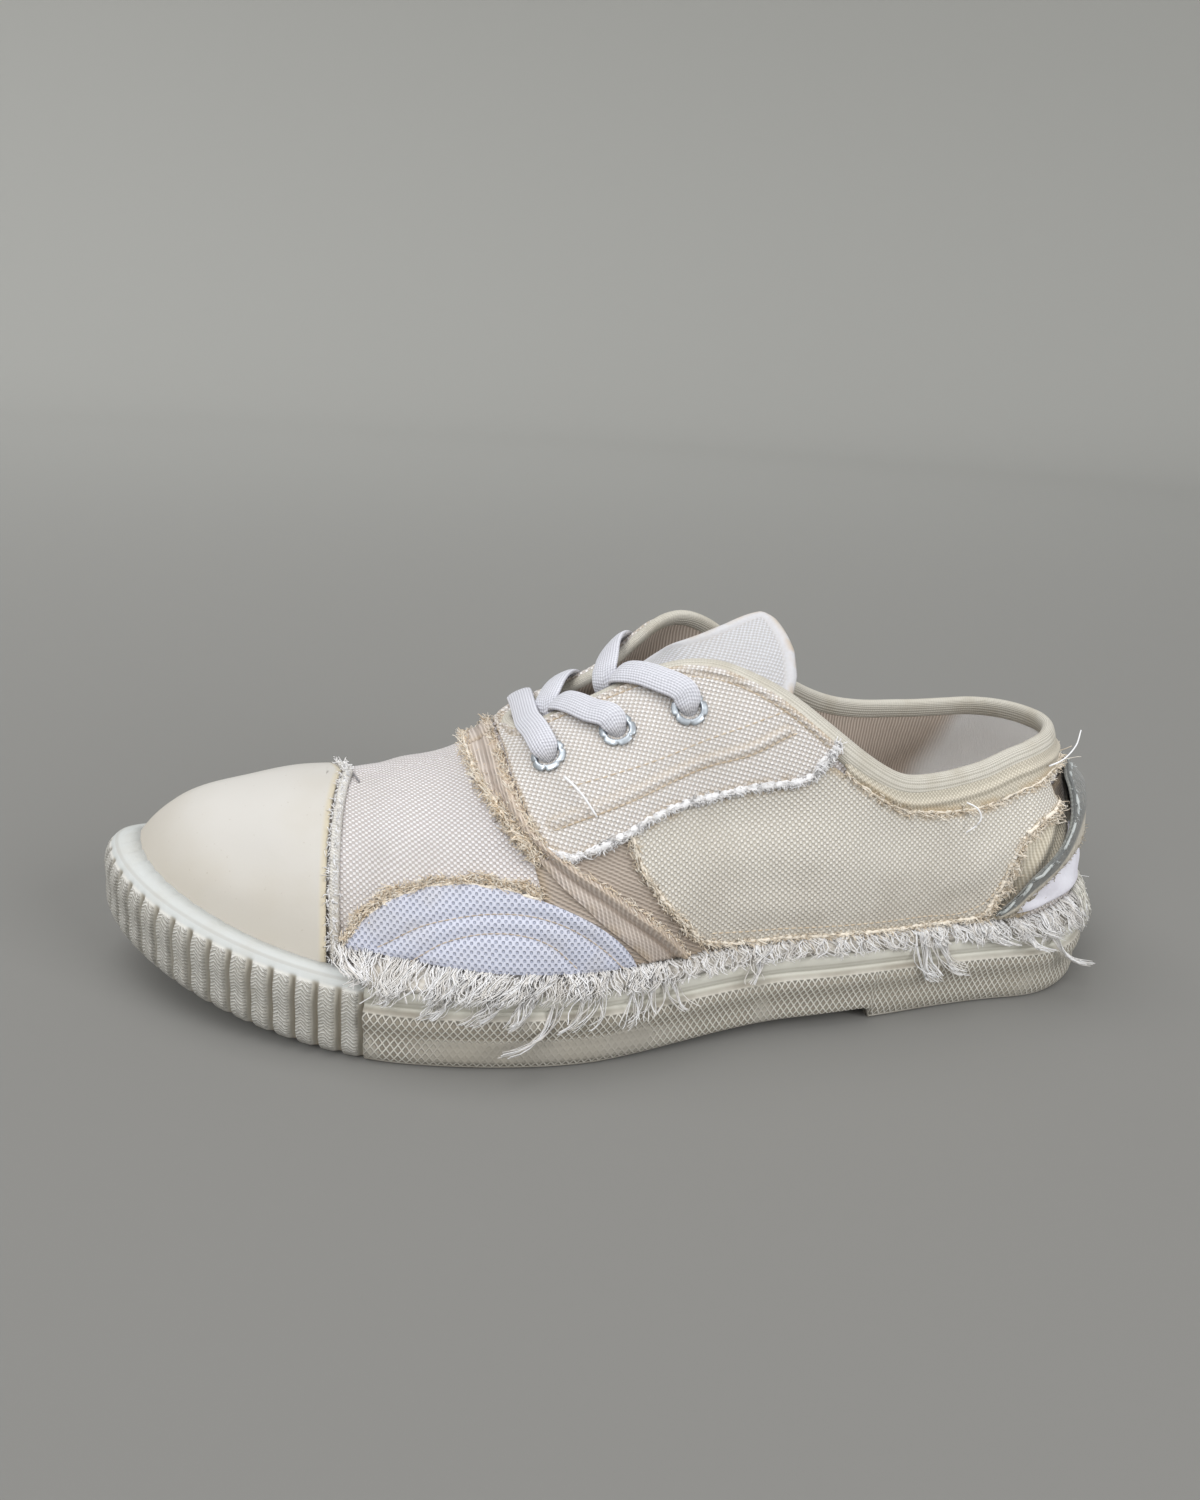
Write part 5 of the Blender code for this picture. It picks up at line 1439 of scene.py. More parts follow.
def make_eyestay(side, word):
    low, high = eyestay_lines(side)
    s, a = ruled(low, high, 46)
    flat = skin(side, s, a, 0.0)
    welt = skin(side, *on_side(side, WELT).T, 0.0)
    near = line_distance(flat, welt[::6])
    rim = edge_distance(flat, TOP_ONLY)
    lift = GAP + EYESTAY_THICKNESS + 1.0 * bell(near, 0, 0.75) - 0.35 * bell(near, 1.7, 0.5)
    lift = lift + 0.8 * bell(rim, 1.9, 0.65) - 0.3 * bell(rim, 3.0, 0.4)

    def marks(side, s, a, grid):
        holes = np.min([np.linalg.norm(grid - e[0], axis=-1) for e in eyelet_frames(side)], 0)
        return {"gold": 0.30 * bell(near, 1.3, 0.7) + 0.35 * bell(rim, 2.9, 0.5),
                "soil_and_shade": 0.25 * bell(holes, 4.5, 2.2)}
    sheet("eyestay_panel_" + word, [(side, s, a, lift)], EYESTAY, EYESTAY_THICKNESS - 0.1,
                 ["eyestay_" + word], rim=0.5, fields=marks, weave=24)


def quarter_lines(side):
    s_floor, a_floor = spots(side, [(165, 27.0), (185, 26.9), (205, 26.9), (225, 26.9), (244, 27.0)])
    front, rear = on_side(side, QUARTER_FRONT), on_side(side, QUARTER_REAR)
    low = np.concatenate([front, np.column_stack([s_floor, a_floor]), rear])
    foot = np.array(EYESTAY_FOOT) - (0, 0.6)
    top = on_side(side, foot)
    x = last_point(side, top[:, 0], top[:, 1])[:, 0]
    top = top[(x > QUARTER_FRONT[0][0]) & (x < 196)]
    s = np.concatenate([station(side, np.arange(202.0, 262, 4)), np.arange(262.0, 276, 3)])
    drops = read(BAND_DROPS, 1, s) + 0.4
    high = np.concatenate([front[:1], top, beside_opening(side, s, drops), rear[-1:]])
    return even(low, 130), even(high, 130, [0, 0.10, 0.86, 1], [0, 0.26, 0.74, 1])


def make_quarter(side, word):
    low, high = quarter_lines(side)
    s, a = ruled(low, high, 36, 0.7)
    sheet("quarter_panel_" + word, [(side, s, a, GAP + QUARTER_THICKNESS)], QUARTER,
                 QUARTER_THICKNESS - 0.1, ["quarter_" + word], rim=0.3, weave=3)


PATCH_ARCS = ([(74.2, 28), (86.9, 35.1), (104.4, 39.7), (119.3, 38.9), (132.6, 30.9), (137, 26.1)],
              [(81.7, 25.7), (91.8, 32.2), (104.2, 35.6), (116.7, 34.1), (124.5, 27.7)])


def patch_arc(side, count):
    """The crescent's upper edge: an ellipse in side view, cut off at its foot."""
    (cx, cz), (rx, rz) = PATCH_CENTRE, PATCH_RADII
    turn = np.arcsin((PATCH_FOOT - cz) / rz)
    t = np.linspace(PI - turn, turn, count)
    x, z = cx + rx * np.cos(t), cz + rz * np.sin(t)
    s = station(side, x)
    return x, np.column_stack([s, angle_at_height(side, s, z)])


def make_patch(side, word):
    x, high = patch_arc(side, 84)
    s = station(side, x)
    low = angle_at_height(side, s, np.full(len(s), PATCH_FOOT))
    grid = ruled(np.column_stack([s, low]), high, 32, 0.5)
    flat = skin(side, *grid, 0.0)
    near = np.min([line_distance(flat, skin(side, *on_side(side, arc).T, 0.0)[::5]) for arc in PATCH_ARCS], 0)
    lift = GAP + PATCH_THICKNESS + 0.55 - 0.75 * bell(near, 0, 1.3)
    sheet("crescent_patch_" + word, [(side, *grid, lift)], PATCH, PATCH_THICKNESS - 0.1,
                 ["patch_" + word], rim=0.6)


def make_seam_strip(side, word):
    low, high = even(on_side(side, SEAM_FRONT), 90), even(on_side(side, SEAM_REAR), 90)
    s, a = ruled(low, high, 34, 0.9)
    rear = edge_distance(skin(side, s, a, 0.0), TOP_ONLY)
    way = np.linspace(0, 1, 90)[:, None]
    wave = 0.2 * np.sin(way * 31) * np.sin(rear * 0.8)
    twist = 1 + 0.10 * np.sin(way * 230 + rear * 2.0)
    fold = 2.0 * ease(way, 0.12, 0.2, 0.34, 1) * twist * bell(rear, 2.2, 1.35)
    lift = GAP + SEAM_THICKNESS + wave + fold - 0.3 * bell(rear, 5.0, 0.9)

    def marks(side, s, a, grid):
        # gold on the fold's ridge; painted shade in the trough behind it
        return {"gold": 0.22 * bell(rear, 2.2, 1.4), "soil_and_shade": 0.7 * bell(rear, 4.9, 0.9)}
    sheet("seam_twill_" + word, [(side, s, a, lift)], TWILL, SEAM_THICKNESS - 0.1,
                 ["seam_strip_" + word], rim=0.5, fields=marks)


def make_underlay(side, word):
    """Twill that shows between the seam strip and the quarter, flat on the canvas."""
    s, a = ruled(straight(side, (120, 26.2), (167, 26.2), 46), straight(side, (112, 57), (152, 60), 46), 34)
    sheet("underlay_" + word, [(side, s, a, 0.3)], UNDERLAY, 0.25, rim=0.1)


# %% [markdown]
# The eyelets' places come before the panels, since the cloth is darker in a ring round each hole.

# %% eyelet places, then the panels
# x, distance from the crown line on the outer and inner side
EYELETS = ((120.5, 23.2, 22.0), (138.0, 24.2, 22.5), (157.0, 28.0, 24.0))
EYELET_LIFT = GAP + EYESTAY_THICKNESS + 0.35


def skin_frame(x, gap, lift):
    """Point over the last and the directions along the shoe and outward from the surface."""
    side = OUTER if gap >= 0 else INNER
    s = station(side, x)
    angle = angle_at_gap(side, s, abs(gap))
    at = skin(side, s, angle, lift, creased=False)
    outward = unit(skin(side, s, angle, lift + 1, creased=False) - at)
    along = skin(side, s + 1, angle, lift, creased=False) - at
    return at, unit(along - outward * (along @ outward)), outward


def eyelet_frames(side):
    return [skin_frame(row[0], row[1] if side == OUTER else -row[2], EYELET_LIFT) for row in EYELETS]


for side, word in SIDES:
    make_underlay(side, word)
    make_patch(side, word)
    make_quarter(side, word)
    make_seam_strip(side, word)
    make_eyestay(side, word)
print("side panels ready")

# %% [markdown]
# A strip of canvas runs under the binding round the collar, and the binding is a ribbed tape folded
# over the raw edge. The tape is one closed tube: its section is a flattened ring, wider along the
# collar than along the throat, and it is carried round the whole opening.

# %% collar band and binding
BINDING_DROP, BINDING_DEPTH = 2.9, 0.55
RING_POWER, RING_TURNS = 2.6, 20


def make_collar_band():
    parts = []
    for side, _ in SIDES:
        s = round_heel(station(side, np.linspace(200.0, HEEL_X, 50)), 36)
        low = opening_angle(side, s, read(BAND_DROPS, 1, s))
        a = low[:, None] + (opening_angle(side, s, 3.4) - low)[:, None] * spaced(24, 0.2)
        s, a = np.broadcast_arrays(s[:, None], a)
        under = edge_distance(skin(side, s, a, 0.0), TOP_ONLY)
        ridge = 0.8 * bell(under, 4.3, 0.9) - 0.3 * bell(under, 5.9, 0.5)
        parts.append((side, s, a, GAP + BAND_THICKNESS + ridge))
    sheet("collar_strip", parts, BAND, BAND_THICKNESS - 0.1, ["collar_band"],
          (True, False, True, False), 0.35)


def opening_path(drop, depth):
    """Closed line round the opening, from the throat's nose over the outer side and the heel."""
    front = THROAT_X - drop
    x = np.concatenate([front + np.array([0.05, 0.2, 0.4, 0.8, 1.3, 1.9, 2.6, 3.4, 4.4, 5.6]),
                        np.arange(120, HEEL_X, 1.5)])
    halves, normals = [], []
    for side, _ in SIDES:
        s = np.concatenate([station(side, x), HEEL_X + HEEL_ARC * np.linspace(0, 1, 44)])
        a = opening_angle(side, s, drop)
        halves.append(skin(side, s, a, -depth))
        normals.append(unit(skin(side, s, a, 1.0) - skin(side, s, a, 0.0)))
    nose = skin(OUTER, station(OUTER, front), PI / 2, -depth)
    up = unit(skin(OUTER, station(OUTER, front), PI / 2, 1.0) - nose)
    path = np.concatenate([nose.reshape(1, 3), halves[0], halves[1][-2::-1]])
    return path, np.concatenate([up.reshape(1, 3), normals[0], normals[1][-2::-1]])


def closed_smooth(values, rounds=2):
    for _ in range(rounds):
        values = (np.roll(values, 1, 0) + 2 * values + np.roll(values, -1, 0)) / 4
    return values


def sweep_ring(name, path, out, half_high, half_thick, paint, nodes):
    """Closed tube with a superellipse section; u is the way along, v the way round it in mm."""
    along = unit(closed_smooth(np.roll(path, -1, 0) - np.roll(path, 1, 0)))
    out = unit(closed_smooth(out - along * (out * along).sum(-1, keepdims=True), 1))
    up = np.cross(along, out)
    t = np.arange(RING_TURNS + 1) * 2 * PI / RING_TURNS
    over, high = squared(np.cos(t), RING_POWER), squared(np.sin(t), RING_POWER)
    grid = (path[:, None] + out[:, None] * (over * half_thick[:, None])[..., None]
            + up[:, None] * (high * half_high[:, None])[..., None])
    grid = np.concatenate([grid, grid[:1]])
    way = way_along(grid[:, 0])
    ring = t / (2 * PI) * 4 * half_high.mean() * 1.4
    face_out(add_piece(name, grid.reshape(-1, 3), quads(*grid.shape[:2]), paint, nodes, grid_uv(way, ring)))


def make_binding():
    path, out = opening_path(BINDING_DROP, BINDING_DEPTH)
    wide = ease(path[:, 0], 150, 0.0, 205, 1.0)
    path = closed_smooth(path, 1)
    sweep_ring("binding_tape", path, out, 2.3 + 1.1 * wide, 1.65 + 0.25 * wide, TAPE, ["binding"])
    print("binding length", round(float(way_along(path)[-1])), "mm")


make_collar_band()
make_binding()

# %% [markdown]
# The back of the heel is torn open: a smooth pale piece sits low down, and two layers of felt hang
# off the collar's back, the inner one dark grey and the outer one beige, each with a raw edge. The
# inner one's dark grey is partly painted shade, and the outer one turns dark grey towards its free
# edge, partly its own grey and partly painted shade.

# %% heel layers
# station, height of the lower and the upper edge
HEEL_PATCH = np.array([(257, 28.4, 29.4), (264, 29.0, 37.0), (271, 31.0, 43.0), (281, 32.0, 49.5), (316, 32.0, 52.0)])
HEEL_PATCH_LIFT, HEEL_ROWS = 0.6, 22
# the same, then how far the felt stands off the last at its belly and at its free edge
HEEL_FLAP = np.array([
    (253.5, 28.6, 30.4, 1.8, 1.9), (259.5, 31.0, 36.8, 2.4, 3.0), (264.0, 35.8, 42.0, 2.8, 3.8),
    (268.5, 39.4, 45.8, 3.0, 4.2), (272.8, 42.0, 50.0, 3.3, 4.4), (278.0, 44.0, 55.5, 3.7, 4.3),
    (283.6, 45.3, 61.5, 4.2, 3.7), (289.0, 45.8, 64.6, 4.5, 2.4), (294.4, 45.7, 65.8, 4.6, 1.9),
    (305.2, 45.5, 66.0, 4.6, 1.8), (316.0, 45.5, 66.0, 4.4, 1.8),
])
FLAP_LOW_LIFT, FLAP_THICKNESS = 1.6, 2.0


def heel_grid(table, side, columns):
    """Stations and angles between the two heights of a table, from its first station to the heel."""
    s = table[0, 0] + (LAST_STATION - table[0, 0]) * np.linspace(0, 1, columns)
    low, high = (angle_at_height(side, s, read(table, k, s)) for k in (1, 2))
    return np.broadcast_arrays(s[:, None], low[:, None] + (high - low)[:, None] * np.linspace(0, 1, HEEL_ROWS))


def make_heel():
    """The felt stands off the heel by its table: from its foot to a belly, then to the free edge."""
    patch, inner, outer = [], [], []
    t = np.linspace(0, 1, HEEL_ROWS)[None]
    for side, _ in SIDES:
        s, a = heel_grid(HEEL_PATCH, side, 44)
        wrinkle = 0.3 * np.sin(s / 1.9 + np.linspace(0, 7, HEEL_ROWS)) * np.sin(np.linspace(0, 5, HEEL_ROWS))
        patch.append((side, s, a, HEEL_PATCH_LIFT + PATCH_THICKNESS - 0.1 + wrinkle * 1.4))
        s, a = heel_grid(HEEL_FLAP, side, 56)
        belly, edge = (read(HEEL_FLAP, k, s[:, :1]) for k in (3, 4))
        foot = np.full_like(belly, FLAP_LOW_LIFT)
        lift = np.where(t < 2 / 3, foot + (belly - foot) * ease(t, 0, 0, 2 / 3, 1),
                        belly + (edge - belly) * ease(t, 2 / 3, 0, 1, 1))
        lift = lift + 0.2 * np.sin(s / 3.1) * np.sin(t * 9)
        outer.append((side, s, a, lift + FLAP_THICKNESS))
        inner.append((side, s, a, lift + 0.85))
    sheet("heel_patch_cloth", patch, HEEL_CLOTH, PATCH_THICKNESS - 0.2, ["heel_patch"],
          BUT_LAST_COLUMN, 0.3)
    sheet("heel_felt_outer", outer, FELT_OUT, 0.95, ["heel_flap"], BUT_LAST_COLUMN, 0.4,
          fields=lambda side, s, a, grid: {"share": t + 0 * s})
    sheet("heel_felt_inner", inner, FELT_IN, 0.8, (), BUT_LAST_COLUMN, 0.3)
    for (side, s, a, lift), word in zip(outer, ("outer", "inner")):
        path = frames_on(side, s[:, -2], a[:, -2], lift[:, -2] - 0.5)
        foot = frames_on(side, s[:, 1], a[:, 1], lift[:, 1] - 0.7)
        rim = [cord(61, path, 0.38, 0.6), fluff(62, path, 160, (-0.6, 0.6), 1, (0.4, 1.2))]
        add_threads("heel_felt_rim_" + word, rim, PALE_FELT_YARN)
        fringe = [fluff(63, foot, 450, (-1.2, 0.8), 1, (0.5, 1.6))]
        add_threads("heel_felt_fray_" + word, fringe, FELT_YARN)


def make_heel_underlay(side, word):
    """Old cloth that shows between the quarter's torn rear edge and the felt, dark up in the gap and along its front
    edge with painted shade.
    """
    share, rise = np.linspace(0, 1, 60), np.linspace(0, 1, 34)[None]
    s, a = ruled(straight(side, (246, 27), (262, 27), 60), straight(side, (262, 62), (284, 66), 60), 34)
    ridge = 0.35 * np.sin(share * 26)[:, None]

    def marks(side, s, a, grid):
        # painted shade: dark up in the gap under the felt and along the front edge
        return {"soil_and_shade": ease(rise, 0.60, 0, 0.80, 0.95) + 0.5 * bell(share[:, None], 0, 0.12)}
    sheet("heel_underlay_" + word, [(side, s, a, 0.75 + ridge)], HEEL_TWILL, 0.25, rim=0.1, fields=marks)


# its near-black dirt colour is the painted shade of the gap under the felt
HEEL_TWILL = twill_finish("heel_twill", (0.86, 0.80, 0.67), (0.52, 0.46, 0.35), (0.09, 0.065, 0.045), GOLD, 5.0, 4.0)
HEEL_CLOTH = plain_finish("lavender_cloth", (0.92, 0.92, 1.0), (0.76, 0.74, 0.82), 0.8, 0.5, 0.2)
for side, word in SIDES:
    make_heel_underlay(side, word)
make_heel()
print("heel layers ready")

# %% [markdown]
# An eyelet is a thin metal ring pressed through the cloth. Its rim has six petals: the radius dips
# at six notches. One profile from the hole's wall over the lip to the rim is turned round.

# %% eyelets
EYELET_TURNS, EYELET_LOBES, EYELET_HOLE, EYELET_RIM, NOTCH_DEPTH = 96, 6, 3.15, 5.0, 0.7
# share of the way from the hole to the rim, height over the cloth; below the rim it turns under
EYELET_PROFILE = np.array([(0.45, -4.35), (0.0, -4.3), (0.0, -1.6), (-0.02, 0.0), (0.05, 0.4), (0.22, 0.62),
                           (0.48, 0.55), (0.74, 0.36), (0.93, 0.2), (1.0, 0.02), (0.9, -0.22), (0.3, -0.2), (0.1, -1.6),
                           (0.12, -3.9), (0.5, -4.05), (0.45, -4.35)])


def make_eyelets():
    """The rim's radius dips by a high power of a cosine that peaks once a lobe."""
    turn = np.arange(EYELET_TURNS + 1) * 2 * PI / EYELET_TURNS
    rim = EYELET_RIM - NOTCH_DEPTH * (0.5 + 0.5 * np.cos(turn * EYELET_LOBES)) ** 12
    for side, word in SIDES:
        for number, (at, along, out) in enumerate(eyelet_frames(side), 1):
            spoke = np.cos(turn)[:, None] * along + np.sin(turn)[:, None] * np.cross(out, along)
            share, height = EYELET_PROFILE.T
            radius = EYELET_HOLE + (rim[:, None] - EYELET_HOLE) * share
            grid = at + spoke[:, None] * radius[..., None] + out * height[:, None]
            grid = np.concatenate([grid, grid[:, :1]], 1)
            face_out(add_piece(f"eyelet_ring_{word}_{number}", grid.reshape(-1, 3), quads(*grid.shape[:2]), ZINC,
                               [f"eyelet_{word}_{number}"]))


make_eyelets()
print("eyelets ready")

# %% [markdown]
# The lace is one flat braid. Each run comes up out of an eyelet, bunches where it passes through,
# spreads flat over the eyestay and dives under or over the next. A run is a table of points over
# the last: x, distance from the crown line (negative on the inner side) and height.

# %% lace
LACE_WIDTH, LACE_THICKNESS, LACE_STEPS, LACE_TURNS = 7.8, 1.5, 90, 24
LACE_RUNS = {
    "bar": [(121.2, 24.0, -3.6), (120.8, 23.7, 0.2), (120.6, 23.1, 2.2), (120.3, 21.4, 4.3), (119.0, 15.5, 4.2),
            (117.6, 9.5, 3.3), (117.4, 4.0, 2.6), (117.6, -1.0, 2.6), (118.0, -6.0, 3.0), (118.6, -12.0, 4.0),
            (119.9, -19.0, 4.5), (120.5, -21.7, 2.4), (120.6, -22.4, 0.6), (120.8, -22.8, -3.4)],
    "under_2": [(138.6, 25.0, -3.6), (138.2, 24.6, 0.4), (138.0, 24.1, 2.2), (137.2, 22.0, 4.4), (132.6, 17.2, 4.1),
                (128.8, 11.8, 3.6), (126.6, 8.4, 3.0), (125.4, 6.0, 1.6), (125.0, 4.6, -0.8), (124.8, 4.4, -3.0)],
    "over_2": [(138.6, -23.4, -3.6), (138.2, -23.0, 0.4), (138.0, -22.5, 2.2), (137.2, -20.2, 4.5), (133.6, -14.5, 4.0),
               (130.4, -9.5, 3.4), (127.2, -4.5, 2.8), (124.8, -0.2, 2.4), (122.6, 3.6, 1.6), (121.6, 5.6, 0.0),
               (121.2, 6.4, -2.6)],
    "under_3": [(157.8, 28.8, -3.6), (157.2, 28.4, 0.4), (157.0, 27.9, 2.2), (156.2, 25.6, 4.4), (150.6, 20.0, 4.1),
                (145.6, 14.2, 3.6), (142.9, 11.0, 3.1), (141.4, 8.6, 1.7), (140.9, 7.2, -0.6), (140.8, 6.8, -3.0)],
    "over_3": [(157.6, -24.8, -4.6), (157.2, -24.4, 0.4), (157.0, -23.9, 2.2), (156.0, -21.4, 4.5), (151.4, -15.5, 4.0),
               (147.0, -10.0, 3.4), (143.4, -5.0, 2.9), (140.6, 0.5, 2.5), (138.6, 4.6, 1.8), (137.6, 6.8, 0.2),
               (137.2, 7.6, -2.6)],
}
LACE_NODES = {"bar": ["lace_bar"], "under_2": ["lace_crossing_2"], "over_2": [], "under_3": ["lace_crossing_3"],
              "over_3": []}


def make_lace(name, route, nodes):
    """Flat tube along a smooth line; its section is a flattened superellipse that narrows in the hole."""
    frames = [skin_frame(*row) for row in route]
    centres, normals = (np.array([f[k] for f in frames]) for k in (0, 2))
    way = way_along(centres)
    t = np.linspace(0, way[-1], LACE_STEPS)
    line, up = follow(t, way, centres), follow(t, way, normals)
    along = unit(np.gradient(line, axis=0))
    hole = ease(t, 4.0, 1, 9.0, 0)
    if name == "bar":
        hole = hole + ease(way[-1] - t, 4.0, 1, 9.0, 0)
    across = np.cross(along, up)
    last = LACE_STEPS - 1
    for _ in range(40):
        across = (across[np.r_[0, :last]] + 2 * across + across[np.r_[1:LACE_STEPS, last]]) / 4
    across = unit(across - along * (across * along).sum(-1, keepdims=True))
    up = unit(np.cross(across, along))
    half = LACE_WIDTH / 2 * (1 - 0.42 * hole)
    deep = LACE_THICKNESS / 2 * (1 + 1.0 * hole)
    turn = np.arange(LACE_TURNS + 1) * 2 * PI / LACE_TURNS
    over, high = squared(np.cos(turn), 3.2), squared(np.sin(turn), 2.2)
    grid = line[:, None] + across[:, None] * (over * half[:, None])[..., None]
    grid = grid + up[:, None] * ((high * deep[:, None]) - 0.45 * (over ** 2 - 0.5) * (1 + hole[:, None]))[..., None]
    start = last * len(turn)
    faces = quads(LACE_STEPS, len(turn)).tolist()
    faces += [list(range(LACE_TURNS))[::-1], list(range(start, start + LACE_TURNS))]
    soil_and_shade = 0.7 * ease(t, 4.5, 1, 8.5, 0) + 0.7 * (name == "bar") * ease(way[-1] - t, 4.5, 1, 8.5, 0)
    face_out(add_piece("lace_" + name, grid.reshape(-1, 3), faces, LACE_BRAID, nodes, grid_uv(t, over),
                       {"soil_and_shade": np.repeat(soil_and_shade, len(turn))}))


for name, route in LACE_RUNS.items():
    make_lace(name, route, LACE_NODES[name])
print("lace runs", len(LACE_RUNS))

# %% [markdown]
# The cloth that was torn off the sole still hangs over its side as a fringe. It is a thin band over
# the top of the rubber, from which locks of yarn hang: each lock is a bunch of threads that share a
# bend, and single threads fill the gaps.

# %% fringe over the sole
# millimetres: station where the band starts, and how far ahead of the bumper's end the yarns do
FRINGE_START, FRINGE_LEAD = 72.0, 10.0
FRINGE_ROOT, FRINGE_BEND = 25.2, 23.6
RISE_START, RISE_END, FUZZ_COUNT = 262.0, 280.0, 220


def heel_rise(s, height=3.4):
    """The fringe is rooted higher round the heel."""
    return ease(s, RISE_START, 0, RISE_END, height)


def fringe_line(side, s, root_height, bend_out, tip_out, tip_drop):
    """Root on the upper, bend over the rubber's top, and tip beside it, at each station."""
    angle = angle_at_height(side, s, bed(foot_line(side, s)[:, 0]) + root_height)
    root = skin(side, s, angle, GAP)
    bend = plan_point(side, s, bend_out, FRINGE_BEND)
    tip = plan_point(side, s, tip_out, FRINGE_BEND - tip_drop)
    return root, bend, tip


def yarns(side, seed, s, lean, drop, out, root, thick, steps, wave, hook=0.0):
    """Yarns from arrays: each leaves the upper, bends over the rubber and hangs to its own tip."""
    rng = np.random.RandomState(seed)
    count = len(s)
    s = np.clip(s, BUMPER_END - FRINGE_LEAD, LAST_STATION - 0.1)
    over = ease(s, BUMPER_END - 1, 1, BUMPER_END + 1, 0)
    a, _, c = fringe_line(side, s, root + 0.4 * over, 0.5, 0.9 - 1.6 * over, -1.3 * over)
    e = unit(outline(side, np.minimum(s + 0.2, LAST_STATION)) - outline(side, s - 0.2))
    e = np.concatenate([e, np.zeros((count, 1))], 1)[:, None]
    aside = -np.concatenate([inward(side, s), np.zeros((count, 1))], 1)[:, None]
    u = np.linspace(0, 1, steps)[None, :, None]
    lean, drop, out = (q[:, None, None] for q in (lean, drop, out))
    line = a[:, None] * (1 - u) + c[:, None] * u + aside * (0.9 * np.sin(PI * u) + out * u ** 1.5)
    line = line + e * lean * u ** (1.25 + 1.2 * hook)
    fall = np.clip((u - 0.25) / 0.75, 0, 1)
    fall = (1 - hook) * fall ** 1.3 + hook * np.sin(1.9 * fall)
    line[..., 2:] += 0.6 * np.sin(PI * np.minimum(u * 1.6, 1)) - drop * fall
    phase = rng.normal(0, 0.9, (count, 1, 1)) + s[:, None, None] * 0.9
    size = wave * rng.uniform(0.3, 1.3, (count, 1, 1)) * np.minimum(u * 3, 1)
    line = line + e * size * np.sin(u * 9 + phase) + aside * size * 0.6 * np.sin(u * 7 + phase * 1.7)
    radius = thick * rng.uniform(0.7, 1.25, (count, 1)) * np.linspace(1, 0.6, steps)
    return tubes(line, radius), np.repeat(rng.uniform(0, 1, count), steps * 3)


# fringe along the sole: station, how thick it stands (1 is full), lean of the tips, drop of the tips
FRINGE = {
    OUTER: np.array([
        (60, 0.7, 5, 0.3), (69, 0.9, 3, 0.5), (73, 0.9, -1, 1.2), (84, 1.0, -4, 2.2), (100, 1.0, -5, 2.6),
        (118, 1.0, -4, 1.8), (136, 0.9, -3, 1.4), (150, 0.6, -2, 1.0), (175, 0.45, -1, 0.8), (205, 0.45, 1, 0.9),
        (222, 0.5, -1, 1.2), (245, 0.8, 3, 1.4), (262, 1.0, 4, 2.2), (290, 0.8, 2, 1.8), (316, 0.7, 0, 1.6),
    ]),
    INNER: np.array([
        (60, 0.7, 5, 0.3), (69, 0.8, 3, 0.5), (73, 0.9, -2, 1.6), (110, 0.9, -4, 2.2), (150, 0.7, 3, 1.6),
        (190, 0.6, -3, 1.4), (230, 0.8, 3, 1.6), (270, 0.9, 3, 2.0), (316, 0.7, 0, 1.6),
    ]),
}


def sheaves(side, seed, every, each):
    """Neighbouring yarns cling together: each sheaf has one lean, one drop and one bend."""
    rng = np.random.RandomState(seed)
    table = FRINGE[side]
    centre = np.arange(BUMPER_END - FRINGE_LEAD + 1, LAST_STATION, every)
    centre = centre + rng.uniform(-1, 1, len(centre))
    full, lean, drop = (np.interp(centre, table[:, 0], table[:, k]) for k in (1, 2, 3))
    number = (each * full * (1.0 if side == OUTER else 0.5) * rng.uniform(0.6, 1.4, len(centre))).astype(int)
    own = np.repeat(np.arange(len(centre)), number)
    lean = lean + rng.normal(0, 2.6, len(centre))
    drop = drop * rng.uniform(0.3, 1.8, len(centre))
    spread = rng.normal(0, 1.2, len(own))
    s = centre[own] + spread
    root = FRINGE_ROOT + rng.uniform(0.2, 1.0 + 1.2 * full[own], len(own))
    root = root + heel_rise(s)
    lean = lean[own] - spread * 0.5 + rng.normal(0, 0.8, len(own))
    drop = drop[own] * rng.uniform(0.5, 1.1, len(own))
    return yarns(side, seed, s, lean, drop, rng.uniform(0.2, 1.8, len(own)) * full[own], root, 0.19, 9, 1.1)


# locks: station, way along to the tip, drop to the tip, way out, yarns
LOCKS = {
    OUTER: [(80, -6, 4, 2.0, 22), (92, -7, 7, 2.0, 24), (104, -8, 8, 2.5, 24), (112, -7, 9, 3.0, 18),
            (122.5, -19, 16.5, 3.5, 12), (127.5, -9, 9.5, 3.5, 8), (131, -7, 10, 3.0, 8), (141, -5, 12, 3.0, 12),
            (145, -3, 10, 3.0, 10), (149, 5, 9, 3.0, 10), (176, -3, 6, 2.0, 12), (228, 4, 12, 3.5, 26),
            (234, 8, 11, 3.5, 20), (251, 9, 3, 2.0, 18), (262, 9, 5, 3.0, 20), (269, 16, 12, 5.0, 14)],
    INNER: [(88, 6, 8, 3, 14), (104, -6, 10, 3, 14), (121, 5, 12, 3, 16), (140, -8, 9, 3, 16), (166, 6, 8, 3, 14),
            (190, -5, 11, 4, 16), (216, 8, 9, 4, 16), (240, -6, 8, 3, 14), (258, 7, 10, 4, 16)],
}


